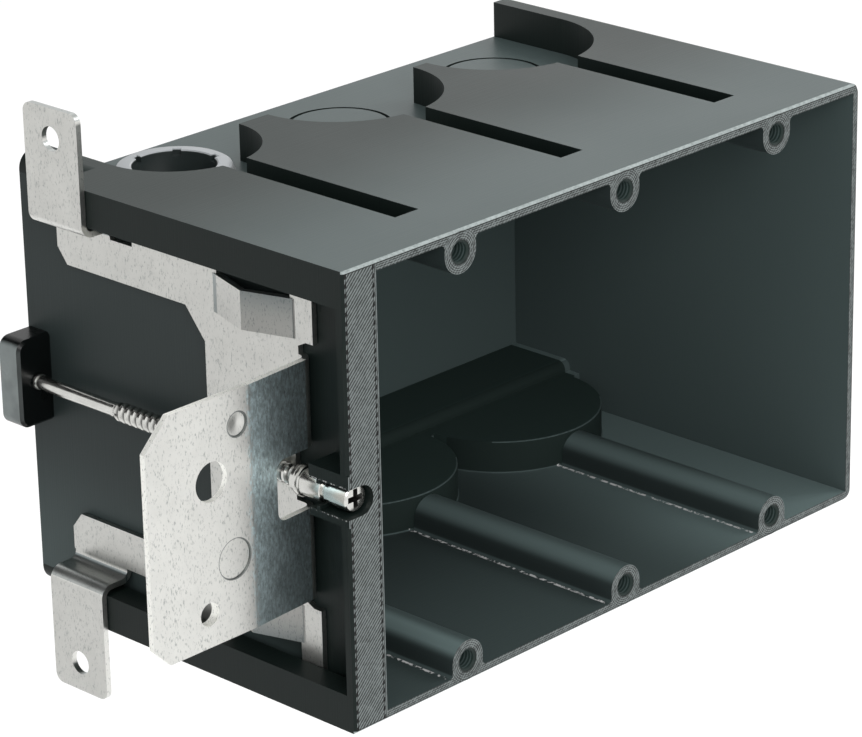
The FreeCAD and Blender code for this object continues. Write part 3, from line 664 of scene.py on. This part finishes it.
def box_plastic():
    """The printed plastic: its masks, its colours in layers, and its heights."""
    shader = Shader("box_plastic")
    spot, x, y, z = shader.place()
    side_x, side_y, side_z = shader.facing()
    front = (side_y < -SQUARE_ON) * (y < EDGE)
    indoors = inside(x, y, z)
    # Painted shade on the platforms and in the screw bores.
    dark = platform(x, y, z, side_x) * indoors
    bored = (boss_distance(x, z) < HOLE_RADIUS) * (y > SKIN)
    # Painted highlights on the thread crests in the bores, and painted highlight lines along the
    # platforms.
    thread_highlights = bored * between(y, 0.5, 4.5) * (wave(y, HOLE_PITCH) > HOLE_CREST)
    grit = shader.noise(spot, scale=1400.0, roughness=0.6)
    cloud = shader.noise(spot, scale=30.0, detail=3.0)
    lines = platform_highlight_lines(x, y, z) * indoors * (0.3 + grit)
    rows = broken_rows(shader, spot, x, z, grit)
    gaps = (voids(x, z) * front).most(bevel_shadow(x, y, z) * BEVEL_SHADOW)
    # Painted glints along the ridges' feet and the cradle's lips.
    glints = (ridge_glints(shader, spot, x, y, z) * indoors).most(
        cradle_glints(shader, spot, x, y, z) * CRADLE_GLINT_SHARE)
    # The painted shade: nearly black, and darker on faces turned to the front.
    shade = shader.mix((side_y < -0.2) * FRONT_SHADE, grey(PLATFORM_SHADE_GREY, DEEP_TINT), grey(0.0))
    colour = shader.layered(
        outside_colour(shader, x, y, z, side_x, side_z),
        (indoors, lit_inside_colour(shader, x, y, z, side_x, side_z)),
        (dark.most(bored), shade),
        (thread_highlights.most(lines), grey(HIGHLIGHT_LINE_GREY, GREEN_TINT)),
        (front, shader.levels(rows, GROOVE_GREY, ROW_GREY, RIM_TINT)),
        # Painted highlight along the bevel.
        (bevels(x, y, z) * (grit + 0.3), grey(BEVEL_HIGHLIGHT_GREY, RIM_TINT)),
        (gaps, grey(VOID_GREY)),
        (glints, grey(GLINT_GREY)),
    )
    layers = shader.noise(shader.stretched(spot, (24.0, 3000.0, 24.0)), scale=1.0)
    height = layers * (1 - front) * LAYER_HEIGHT + (rows - gaps * 2) * front
    return shader.surface(
        Base_Color=colour,
        Roughness=0.40 + cloud * 0.08 + dark * 0.35 + front * 0.1,
        Specular_IOR_Level=0.15,
        Normal=shader.bump(height, strength=0.8, distance=0.00008),
    )


# %% [markdown]
# ## The other finishes
# Galvanised sheet is bright but never even: a soft mottling a few millimetres
# wide, and over it dense short dark flecks along the rolling direction. Beside its
# bend the flange takes a painted reflection, bluish and streaked, its cut edges a
# painted highlight, and the front slope of each pressed tongue a darker painted
# reflection; its creases and pressed rings get painted shade. The screw is polished
# and plated, with painted shade in its cross recess and between its turns. The end
# block is glossy black with a painted sheen on its left face, and the cable bushing
# a satin light grey, with painted light on its right and painted shade in its bore.

# %% Places on the bracket, in millimetres
WARM = (1.0, 1.0, 0.955)
BLUE = (0.80, 0.97, 1.0)
PLATE_FACE, FLANGE_BACK = -71.2, 16.0
LEAN_START = PLATE_FACE - 16.8
TONGUE_FRONT, TONGUE_PEAK = 18.5, 29.5
TONGUE_LOW, TONGUE_HIGH = 27.2, 39.0
TONGUE_SHADING = (28.5, 38.0)
DISC_X, DISC_Z, DISC_RADIUS = PLATE_FACE - 21.6, -8.7, 4.0
DIMPLE_X, DIMPLE_Z, DIMPLE_RADIUS = PLATE_FACE - 19.8, 17.5, 2.4
RING_REACH, DIMPLE_RING_REACH = 0.16, 0.2


def pressings(shader, x, z):
    """The thin rings of the disc and the dimple, where painted shade goes, and how deep the
    dimple is.
    """
    disc = apart(x - DISC_X, z - DISC_Z)
    dimple = apart(x - DIMPLE_X, z - DIMPLE_Z)
    rings = near(disc, DISC_RADIUS, RING_REACH).most(
        near(dimple, DIMPLE_RADIUS, DIMPLE_RING_REACH))
    return rings, 1 - shader.smooth(dimple, 0.0, DIMPLE_RADIUS)


def tongue_slope(x, y, z):
    """1 on the front slope of each pressed tongue, where a darker painted reflection goes."""
    return (x < PLATE_FACE - 0.15) * between(y, TONGUE_FRONT, TONGUE_PEAK) * between(
        abs(z), TONGUE_LOW, TONGUE_HIGH)


def tongue_crease(x, y, z):
    """1 along the line where each tongue leaves the plate, where painted shade goes."""
    return between(x, PLATE_FACE - 0.5, PLATE_FACE - 0.1) * (y > TONGUE_FRONT - 0.5) * between(
        abs(z), TONGUE_LOW - 0.6, TONGUE_HIGH)


# %% Galvanised sheet
HAZE_LOW_SHARE, HAZE_LOW_END = 0.65, -24.0
RAGGEDNESS = 1.5
BEND_SHADING = (LEAN_START - 1.4, LEAN_START + 1.0)
# Beside the sheet's own mottled greys, these paint shade, reflections and highlights.
SHEET_GREYS, LEFT_SHADE_GREYS, REFLECTION_GREYS = (0.56, 0.74), (0.47, 0.63), (0.42, 0.80)
TONGUE_LOW_REFLECTION_GREY, TONGUE_TOP_REFLECTION_GREY = 0.46, 0.24
UPWARD_REFLECTION_GREY, CREASE_SHADE_GREY, CUT_HIGHLIGHT_GREY = 0.2, 0.22, 0.95
FLECK_GREY, RING_SHADE_GREY = 0.16, 0.1


def reflection_haze(shader, spot, z):
    """Light streaks of the painted reflection, weaker towards the flange's lower end."""
    grains = shader.stretched(spot, (1700.0, 1700.0, 700.0))
    haze = shader.noise(grains, scale=1.0, detail=4.0, roughness=0.7)
    upper = shader.smooth(z, HAZE_LOW_END, 0.0)
    return shader.smooth(haze, 0.36, 0.68) * (upper * (1 - HAZE_LOW_SHARE) + HAZE_LOW_SHARE)


def beside_bend(shader, x, y, haze):
    """1 on the flange beside its bend, where the painted reflection goes, with a ragged edge."""
    ragged = x + (haze - 0.5) * RAGGEDNESS
    return shader.smooth(ragged, *BEND_SHADING) * (y < FLANGE_BACK + 1) * (
        x < PLATE_FACE - 1.3)


def galvanised():
    """The bracket's sheet, in layers of colour from the mottling to the rings."""
    shader = Shader("galvanised_sheet")
    spot, x, y, z = shader.place()
    side_x, side_y, side_z = shader.facing()
    on_flange = (x < PLATE_FACE - 1) * (y < FLANGE_BACK)
    cloud = shader.noise(spot, scale=160.0, detail=4.0, roughness=0.6)
    short = shader.stretched(spot, (3000.0, 3000.0, 1100.0))
    fine = shader.noise(short, scale=1.0, detail=3.0, roughness=0.65)
    flecks = shader.smooth(fine, 0.55, 0.68)
    rings, pressed = pressings(shader, x, z)
    haze = reflection_haze(shader, spot, z)
    bend_reflection = beside_bend(shader, x, y, haze)
    slope = tongue_slope(x, y, z)
    # Painted shade in each tongue's crease.
    crease = tongue_crease(x, y, z) * (1 - slope)
    # A darker painted reflection on the tongue's front slope: warm nearer the plate's middle,
    # bluish and darker towards its ends.
    tongue = shader.mix(shader.smooth(abs(z), *TONGUE_SHADING), grey(TONGUE_LOW_REFLECTION_GREY, WARM),
                        grey(TONGUE_TOP_REFLECTION_GREY, BLUE))
    # Painted highlight on the flange's cut edges.
    cut_edge_highlight = on_flange * (abs(side_y) < 0.4)
    colour = shader.layered(
        shader.levels(cloud, *SHEET_GREYS, WARM),
        # Painted shade on faces turned to the left.
        (shader.smooth(side_x * -1, 0.9, 0.98), shader.levels(cloud, *LEFT_SHADE_GREYS, WARM)),
        # Painted reflection, bluish and streaked, beside the bend.
        (bend_reflection, shader.levels(haze, *REFLECTION_GREYS, BLUE)),
        # Painted dark reflection, at half strength, on faces turned up.
        ((side_z > 0.4) * 0.5, grey(UPWARD_REFLECTION_GREY, BLUE)),
        (slope * (0.6 + cloud * 0.5), tongue),
        (crease * 0.7, grey(CREASE_SHADE_GREY, BLUE)),
        (cut_edge_highlight, grey(CUT_HIGHLIGHT_GREY, WARM)),
        (flecks * 0.5, grey(FLECK_GREY, BLUE)),
        # Painted shade in the rings of the disc and the dimple.
        (rings * on_flange * 0.75, grey(RING_SHADE_GREY, BLUE)),
    )
    roughness = 0.24 + cloud * 0.16 + flecks * 0.1 + bend_reflection * 0.12 + slope * 0.16
    height = cloud + fine * 0.15 - pressed * on_flange * 6
    return shader.surface(
        Base_Color=colour,
        Metallic=1.0,
        Roughness=roughness + cut_edge_highlight * 0.25,
        Normal=shader.bump(height, strength=0.3, distance=0.00012),
    )


# %% Polished steel
SCREW_AXIS = Vector((SCREW_X, 0.0, SCREW_Z))
HEAD_FRONT = 1.7
RECESS_RADIUS, RECESS_END = 2.35, 4.5
TURNS_START, TURNS_END = 17.2, 66.4
ROOT_SHADING, ROOT_SHADE_SHARE = (1.6, 1.9), 0.85


def screw_steel():
    """Plated steel, with painted shade in the cross recess and between the thread's turns."""
    shader = Shader("screw_steel")
    spot, x, y, z = shader.place()
    radius = apart(x - SCREW_X, z - SCREW_Z)
    recess = (radius < RECESS_RADIUS) * between(y, HEAD_FRONT + 0.08, RECESS_END)
    root = (1 - shader.smooth(radius, *ROOT_SHADING)) * between(y, TURNS_START, TURNS_END)
    cloud = shader.noise(spot, scale=500.0, detail=3.0)
    tool_marks = shader.noise(shader.stretched(spot, (100.0, 6000.0, 100.0)), scale=1.0)
    # Painted shade in the cross recess and between the thread's turns.
    colour = shader.layered(shader.levels(cloud, 0.50, 0.70, WARM),
                            (recess.most(root * ROOT_SHADE_SHARE), grey(0.07, WARM)))
    return shader.surface(
        Base_Color=colour,
        Metallic=1.0,
        Roughness=0.15 + cloud * 0.1 + recess * 0.3,
        Normal=shader.bump(tool_marks, strength=0.15, distance=0.00005),
    )


# %% Black and light grey plastic
BUSHING_AXIS = Vector((-45.04, 79.0, 0.0))
BUSHING_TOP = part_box("cable_bushing")[1][2] / MM
BORE, NOTCH_DEPTH = 8.5, 0.9
COOL, COOLER = (0.96, 1.0, 1.02), (0.94, 1.0, 1.04)


def black_plastic():
    """Glossy black, with a painted sheen on the face at the left."""
    shader = Shader("black_plastic")
    spot, side_x = shader.place()[0], shader.facing()[0]
    cloud = shader.noise(spot, scale=200.0)
    grain = shader.noise(spot, scale=2500.0)
    # Painted sheen on faces turned to the left, mottled by the cloud.
    left = shader.smooth(side_x * -1, 0.6, 0.95)
    return shader.surface(
        Base_Color=shader.layered(grey(0.003, GREEN_TINT),
                                  (left * (cloud + 0.5), grey(0.19, RIM_TINT))),
        Roughness=0.2 + cloud * 0.12,
        Specular_IOR_Level=0.2,
        Normal=shader.bump(grain, strength=0.12, distance=0.00004),
    )


def grey_plastic():
    """Satin light grey, with painted light on faces turned right and painted shade in the bore.
    """
    shader = Shader("grey_plastic")
    spot, x, y, z = shader.place()
    radius = apart(x - BUSHING_AXIS.x, y - BUSHING_AXIS.y)
    # Painted shade in the bore.
    bore = (radius < BORE + NOTCH_DEPTH + 0.08) * (z < BUSHING_TOP - 0.22)
    cloud = shader.noise(spot, scale=150.0)
    grain = shader.noise(spot, scale=1500.0, detail=3.0)
    colour = shader.layered(
        shader.levels(cloud, 0.29, 0.36, COOLER),
        # Painted light on faces turned to the right.
        (shader.smooth(shader.facing()[0], 0.15, 0.7), grey(0.52, COOL)),
        (bore, grey(0.022, GREEN_TINT)),
    )
    return shader.surface(
        Base_Color=colour,
        Roughness=0.35 + cloud * 0.12,
        Normal=shader.bump(grain, strength=0.2, distance=0.00006),
    )


# %% Every piece gets its finish


def matt(name, level):
    """One even grey, for the studio's own things."""
    return Shader(name).surface(Base_Color=grey(level), Roughness=0.9)


def dress(thing, material):
    """Give an object its finish."""
    thing.data.materials.clear()
    thing.data.materials.append(material)


STEEL = screw_steel()
LIGHT_GREY = grey_plastic()
FINISHES = {
    "gang_box": box_plastic(),
    "stud_bracket": galvanised(),
    "adjusting_screw": STEEL,
    "tail_block": black_plastic(),
    "cable_bushing": LIGHT_GREY,
}
for node, material in FINISHES.items():
    dress(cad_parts[node], material)
dress(floor, matt("floor_white", 0.97))
DARK_CARD = matt("card_dark", 0.02)
for card in cards:
    dress(card, DARK_CARD)
print("finishes:", ", ".join(material.name for material in FINISHES.values()))

# %% [markdown]
# ## The thread
# The solids have a plain rod where the real screw has its thread. A thread follows
# a rule: at each turn the crest moves on by one pitch. So a Geometry Nodes tree
# rolls a sheared grid into a tube, in which one row of points is always the crest,
# and sets the radius by the row alone. That keeps crest and root sharp with few
# faces, and the sizes stay inputs of the tree.

# %% A tree that rolls a threaded tube
SIDES = 28
ROWS_PER_TURN = 6
SPARE_TURNS = 4
CREST_STEEPNESS = 1.6
FADE_IN, FADE_OUT = 0.6, 1.2
THREAD_SIZES = {
    "Pitch": 1.75 * MM, "Core": 1.55 * MM, "Crest": 2.0 * MM, "Start": 16.8 * MM,
    "Length": 50.7 * MM, "Axis X": SCREW_X * MM, "Axis Z": SCREW_Z * MM,
}


class Growth(Tree):
    """A Geometry Nodes tree with named sizes."""

    def __init__(self, name, sizes):
        self.tree = bpy.data.node_groups.new(name, "GeometryNodeTree")
        sockets = self.tree.interface
        sockets.new_socket("Geometry", in_out="OUTPUT", socket_type="NodeSocketGeometry")
        self.identifiers = {}
        for word in sizes:
            made = sockets.new_socket(word, in_out="INPUT", socket_type="NodeSocketFloat")
            self.identifiers[word] = made.identifier
        self.entry = self.tree.nodes.new("NodeGroupInput")

    def size(self, word):
        """One of the tree's inputs."""
        return Socket(self, self.entry.outputs[word])

    def finish(self, geometry, material):
        """Realize, set the material and lead out."""
        real = self.node("GeometryNodeRealizeInstances", {}, geometry)
        dressed = self.node("GeometryNodeSetMaterial", {}, real, Material=material)
        output = self.tree.nodes.new("NodeGroupOutput")
        self.feed(output.inputs[0], dressed)


def thread_radius(growth, row, along):
    """Core to crest and back over each turn, and down to the core at both ends."""
    pitch, length = growth.size("Pitch"), growth.size("Length")
    core, crest = growth.size("Core"), growth.size("Crest")
    phase = (row / ROWS_PER_TURN).fraction()
    ridge = ((1 - abs(phase * 2 - 1)) * CREST_STEEPNESS).least(1.0)
    fade_in = growth.smooth(along / pitch, 0.0, FADE_IN)
    fade_out = growth.smooth((length - along) / pitch, 0.0, FADE_OUT)
    return core + (crest - core) * ridge * (fade_in * fade_out)


def thread_tree():
    """The sheared grid, rolled round the screw's axis."""
    growth = Growth("thread", THREAD_SIZES)
    pitch, length = growth.size("Pitch"), growth.size("Length")
    rows = length / pitch * ROWS_PER_TURN + SPARE_TURNS * ROWS_PER_TURN
    grid = growth.node("GeometryNodeMeshGrid", {}, Size_X=1.0, Size_Y=1.0, Vertices_X=rows,
                       Vertices_Y=SIDES + 1)
    u, v = growth.split(growth.node("GeometryNodeInputPosition", {}))[:2]
    row = ((u + 0.5) * (rows.floored() - 1)).rounded()
    turn = v + 0.5
    free = (row / ROWS_PER_TURN + turn - SPARE_TURNS / 2) * pitch
    along = free.most(0.0).least(length)
    whole = (free > pitch * -1) * (free < length + pitch)
    radius = thread_radius(growth, row, along) * whole
    angle = turn * TURN
    place = growth.node("ShaderNodeCombineXYZ", {},
                        growth.size("Axis X") + radius * angle.sine(),
                        growth.size("Start") + along,
                        growth.size("Axis Z") + radius * angle.cosine())
    rolled = growth.node("GeometryNodeSetPosition", {}, grid, Position=place)
    merged = growth.node("GeometryNodeMergeByDistance", {}, rolled, Distance=0.01 * MM)
    growth.finish(merged, STEEL)
    return growth


# %% Grow it into a mesh


def grown(growth, sizes):
    """The mesh that a tree makes with its sizes."""
    seed = bpy.data.objects.new("seed", bpy.data.meshes.new("seed"))
    bpy.context.scene.collection.objects.link(seed)
    modifier = seed.modifiers.new("growth", "NODES")
    modifier.node_group = growth.tree
    for word, value in sizes.items():
        modifier[growth.identifiers[word]] = value
    mesh = baked(seed)
    seed.modifiers.remove(modifier)
    bpy.data.objects.remove(seed)
    return mesh


def baked(thing):
    """A plain mesh of an object as its modifiers leave it."""
    state = bpy.context.evaluated_depsgraph_get()
    return bpy.data.meshes.new_from_object(thing.evaluated_get(state), depsgraph=state)


thread_mesh = grown(thread_tree(), THREAD_SIZES)
print("thread:", len(thread_mesh.vertices), "points")

# %% [markdown]
# ## The rest of the screw
# Everything else on the screw is turned, so it is a profile spun round the axis:
# the rounded head, the neck, the barrel, the collar, and behind the thread the
# thin shank with its ring. A profile is a list of places along the axis with the
# radius there. The cross recess is cut with two tapered blades.

# %% Turned shapes
SCREW_PROFILE = [
    (HEAD_FRONT, 0), (HEAD_FRONT, 2.45), (1.95, 2.7), (2.3, 2.75), (7.3, 2.75), (7.5, 2.6),
    (7.5, 2.2), (8.5, 2.2), (8.5, 2.6), (8.7, 2.75), (14.0, 2.75), (14.15, 3.05), (14.5, 3.2),
    (15.1, 3.2), (15.45, 3.05), (15.6, 2.75), (16.5, 2.7), (16.8, 2.4), (17.2, 1.5), (17.2, 0),
]
SHANK_PROFILE = [
    (66.5, 0), (66.5, 1.54), (67.5, 1.54), (68.1, 1.45), (89.7, 1.45), (89.75, 1.6), (90.0, 1.7),
    (90.35, 1.7), (90.5, 1.5), (90.5, 1.45), (95.2, 1.45), (95.2, 0),
]
TURNING_STEPS = 48


def turned(profile):
    """A shape of (place along, radius) pairs, spun round the screw's axis."""
    form = bmesh.new()
    across, along = Vector((1, 0, 0)), Vector((0, 1, 0))
    side = along.cross(across)
    rings = []
    for place, radius in profile:
        ring = []
        for step in range(TURNING_STEPS if radius else 1):
            angle = TURN * step / TURNING_STEPS
            out = across * math.cos(angle) + side * math.sin(angle)
            ring.append(form.verts.new((SCREW_AXIS + along * place + out * radius) * MM))
        rings.append(ring)
    for first, second in zip(rings, rings[1:]):
        bridge(form, first, second)
    bmesh.ops.recalc_face_normals(form, faces=form.faces[:])
    return form


def bridge(form, first, second):
    """Faces between two rings, either of which may be one point."""
    count = max(len(first), len(second))
    for step in range(count):
        after = (step + 1) % count
        corners = [first[step % len(first)], first[after % len(first)],
                   second[after % len(second)], second[step % len(second)]]
        without_doubles = list(dict.fromkeys(corners))
        form.faces.new(without_doubles)


# %% [markdown]
# A mesh and a name become an object here. Faces turn smooth except at real edges,
# so a turned part shows round and its shoulders stay crisp.

# %% From shape to object
EDGE_ANGLE = math.radians(32)


def as_mesh(form, name):
    """The mesh of a shape, which is then let go."""
    mesh = bpy.data.meshes.new(name)
    form.to_mesh(mesh)
    form.free()
    return mesh


def as_object(mesh, name, material):
    """A named object of a mesh and a material, smooth except at its edges."""
    for face in mesh.polygons:
        face.use_smooth = True
    mesh.set_sharp_from_angle(angle=EDGE_ANGLE)
    mesh.materials.clear()
    mesh.materials.append(material)
    mesh.name = name
    thing = bpy.data.objects.new(name, mesh)
    bpy.context.scene.collection.objects.link(thing)
    return thing


def merged(meshes):
    """One shape from several closed meshes."""
    form = bmesh.new()
    for mesh in meshes:
        form.from_mesh(mesh)
    bmesh.ops.recalc_face_normals(form, faces=form.faces[:])
    return form


# %% The cross recess
BLADE_SPAN, BLADE_WIDTH = 1.85, 0.55
BLADE_START, BLADE_END = HEAD_FRONT - 0.3, HEAD_FRONT + 2.0
BLADE_MOUTH, BLADE_TIP = 1.12, 0.45


def blade(level):
    """One tapered blade of the cross, its wide end in front of the head."""
    form = bmesh.new()
    rings = []
    for place, share in ((BLADE_START, BLADE_MOUTH), (BLADE_END, BLADE_TIP)):
        span, width = BLADE_SPAN * share, BLADE_WIDTH * share
        wide, high = (span, width) if level else (width, span)
        corners = [(-wide, -high), (wide, -high), (wide, high), (-wide, high)]
        rings.append([form.verts.new((SCREW_AXIS + Vector((across, place, up))) * MM)
                      for across, up in corners])
    bridge(form, *rings)
    for ring in rings:
        form.faces.new(ring)
    bmesh.ops.recalc_face_normals(form, faces=form.faces[:])
    return as_mesh(form, "blade")


def cut_cross(mesh):
    """The head's mesh with both blades taken out of it."""
    head = bpy.data.objects.new("head", mesh)
    bpy.context.scene.collection.objects.link(head)
    blades = [bpy.data.objects.new("blade", blade(level)) for level in (True, False)]
    for cutter in blades:
        bpy.context.scene.collection.objects.link(cutter)
        cut = head.modifiers.new("cross", "BOOLEAN")
        cut.operation, cut.solver, cut.object = "DIFFERENCE", "EXACT", cutter
    result = baked(head)
    for thing in (head, *blades):
        bpy.data.objects.remove(thing)
    return result


head_mesh = cut_cross(as_mesh(turned(SCREW_PROFILE), "head"))
shank_mesh = as_mesh(turned(SHANK_PROFILE), "shank")
screw = as_object(as_mesh(merged([head_mesh, thread_mesh, shank_mesh]), "screw"),
                  "threaded_screw", STEEL)
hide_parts("adjusting_screw")
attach(screw, "screw")
print("screw:", len(screw.data.polygons), "faces")

# %% [markdown]
# ## The cable bushing
# The bushing is turned too, but six small notches break the top edge of its bore,
# where a tool grips it. The steps round the ring are uneven, so that each notch
# has upright sides, and within a notch the bore's edge is moved outwards.

# %% A ring with notches
BUSHING_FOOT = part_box("cable_bushing")[0][2] / MM
FLANGE, SLEEVE = 12.5, 11.0
SEAT = HALF_HEIGHT - 7.8
NOTCHES, NOTCH_WIDTH, NOTCH_DROP = 6, 1.7, 1.3
NOTCH_TURN = math.radians(44)
STEPS_BETWEEN_NOTCHES = 14
ROUNDING = 0.3


def ring_steps():
    """(angle, in a notch or not) round the ring, doubled at each notch's sides."""
    half = NOTCH_WIDTH / 2 / BORE
    gap = TURN / NOTCHES
    steps = []
    for notch in range(NOTCHES):
        middle = NOTCH_TURN + notch * gap
        steps += [(middle - half, False), (middle - half, True), (middle, True),
                  (middle + half, True), (middle + half, False)]
        free = gap - 2 * half
        steps += [(middle + half + free * part / STEPS_BETWEEN_NOTCHES, False)
                  for part in range(1, STEPS_BETWEEN_NOTCHES)]
    return steps


def bushing_section(notched):
    """(height, radius) pairs round the ring's section."""
    bore = BORE + (NOTCH_DEPTH if notched else 0)
    drop = BUSHING_TOP - NOTCH_DROP
    return [
        (BUSHING_FOOT, BORE), (drop, BORE), (drop, bore), (BUSHING_TOP - ROUNDING, bore),
        (BUSHING_TOP, bore + ROUNDING), (BUSHING_TOP, FLANGE - 1.6),
        (BUSHING_TOP - 0.35, FLANGE - 1.0), (SEAT + 0.5, FLANGE), (SEAT, FLANGE),
        (SEAT, SLEEVE), (SEAT - 5, SLEEVE), (BUSHING_FOOT, SLEEVE - 1),
    ]


def bushing():
    """The ring, column by column."""
    form = bmesh.new()
    columns = []
    for angle, notched in ring_steps():
        out = Vector((math.cos(angle), math.sin(angle), 0))
        columns.append([
            form.verts.new((BUSHING_AXIS + out * radius + Vector((0, 0, height))) * MM)
            for height, radius in bushing_section(notched)])
    for first, second in zip(columns, columns[1:] + columns[:1]):
        bridge(form, first, second)
    bmesh.ops.remove_doubles(form, verts=form.verts[:], dist=0.001 * MM)
    bmesh.ops.recalc_face_normals(form, faces=form.faces[:])
    return as_object(as_mesh(form, "bushing"), "notched_bushing", LIGHT_GREY)


ring = bushing()
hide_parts("cable_bushing")
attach(ring, "box")
print("bushing:", len(ring.data.polygons), "faces")
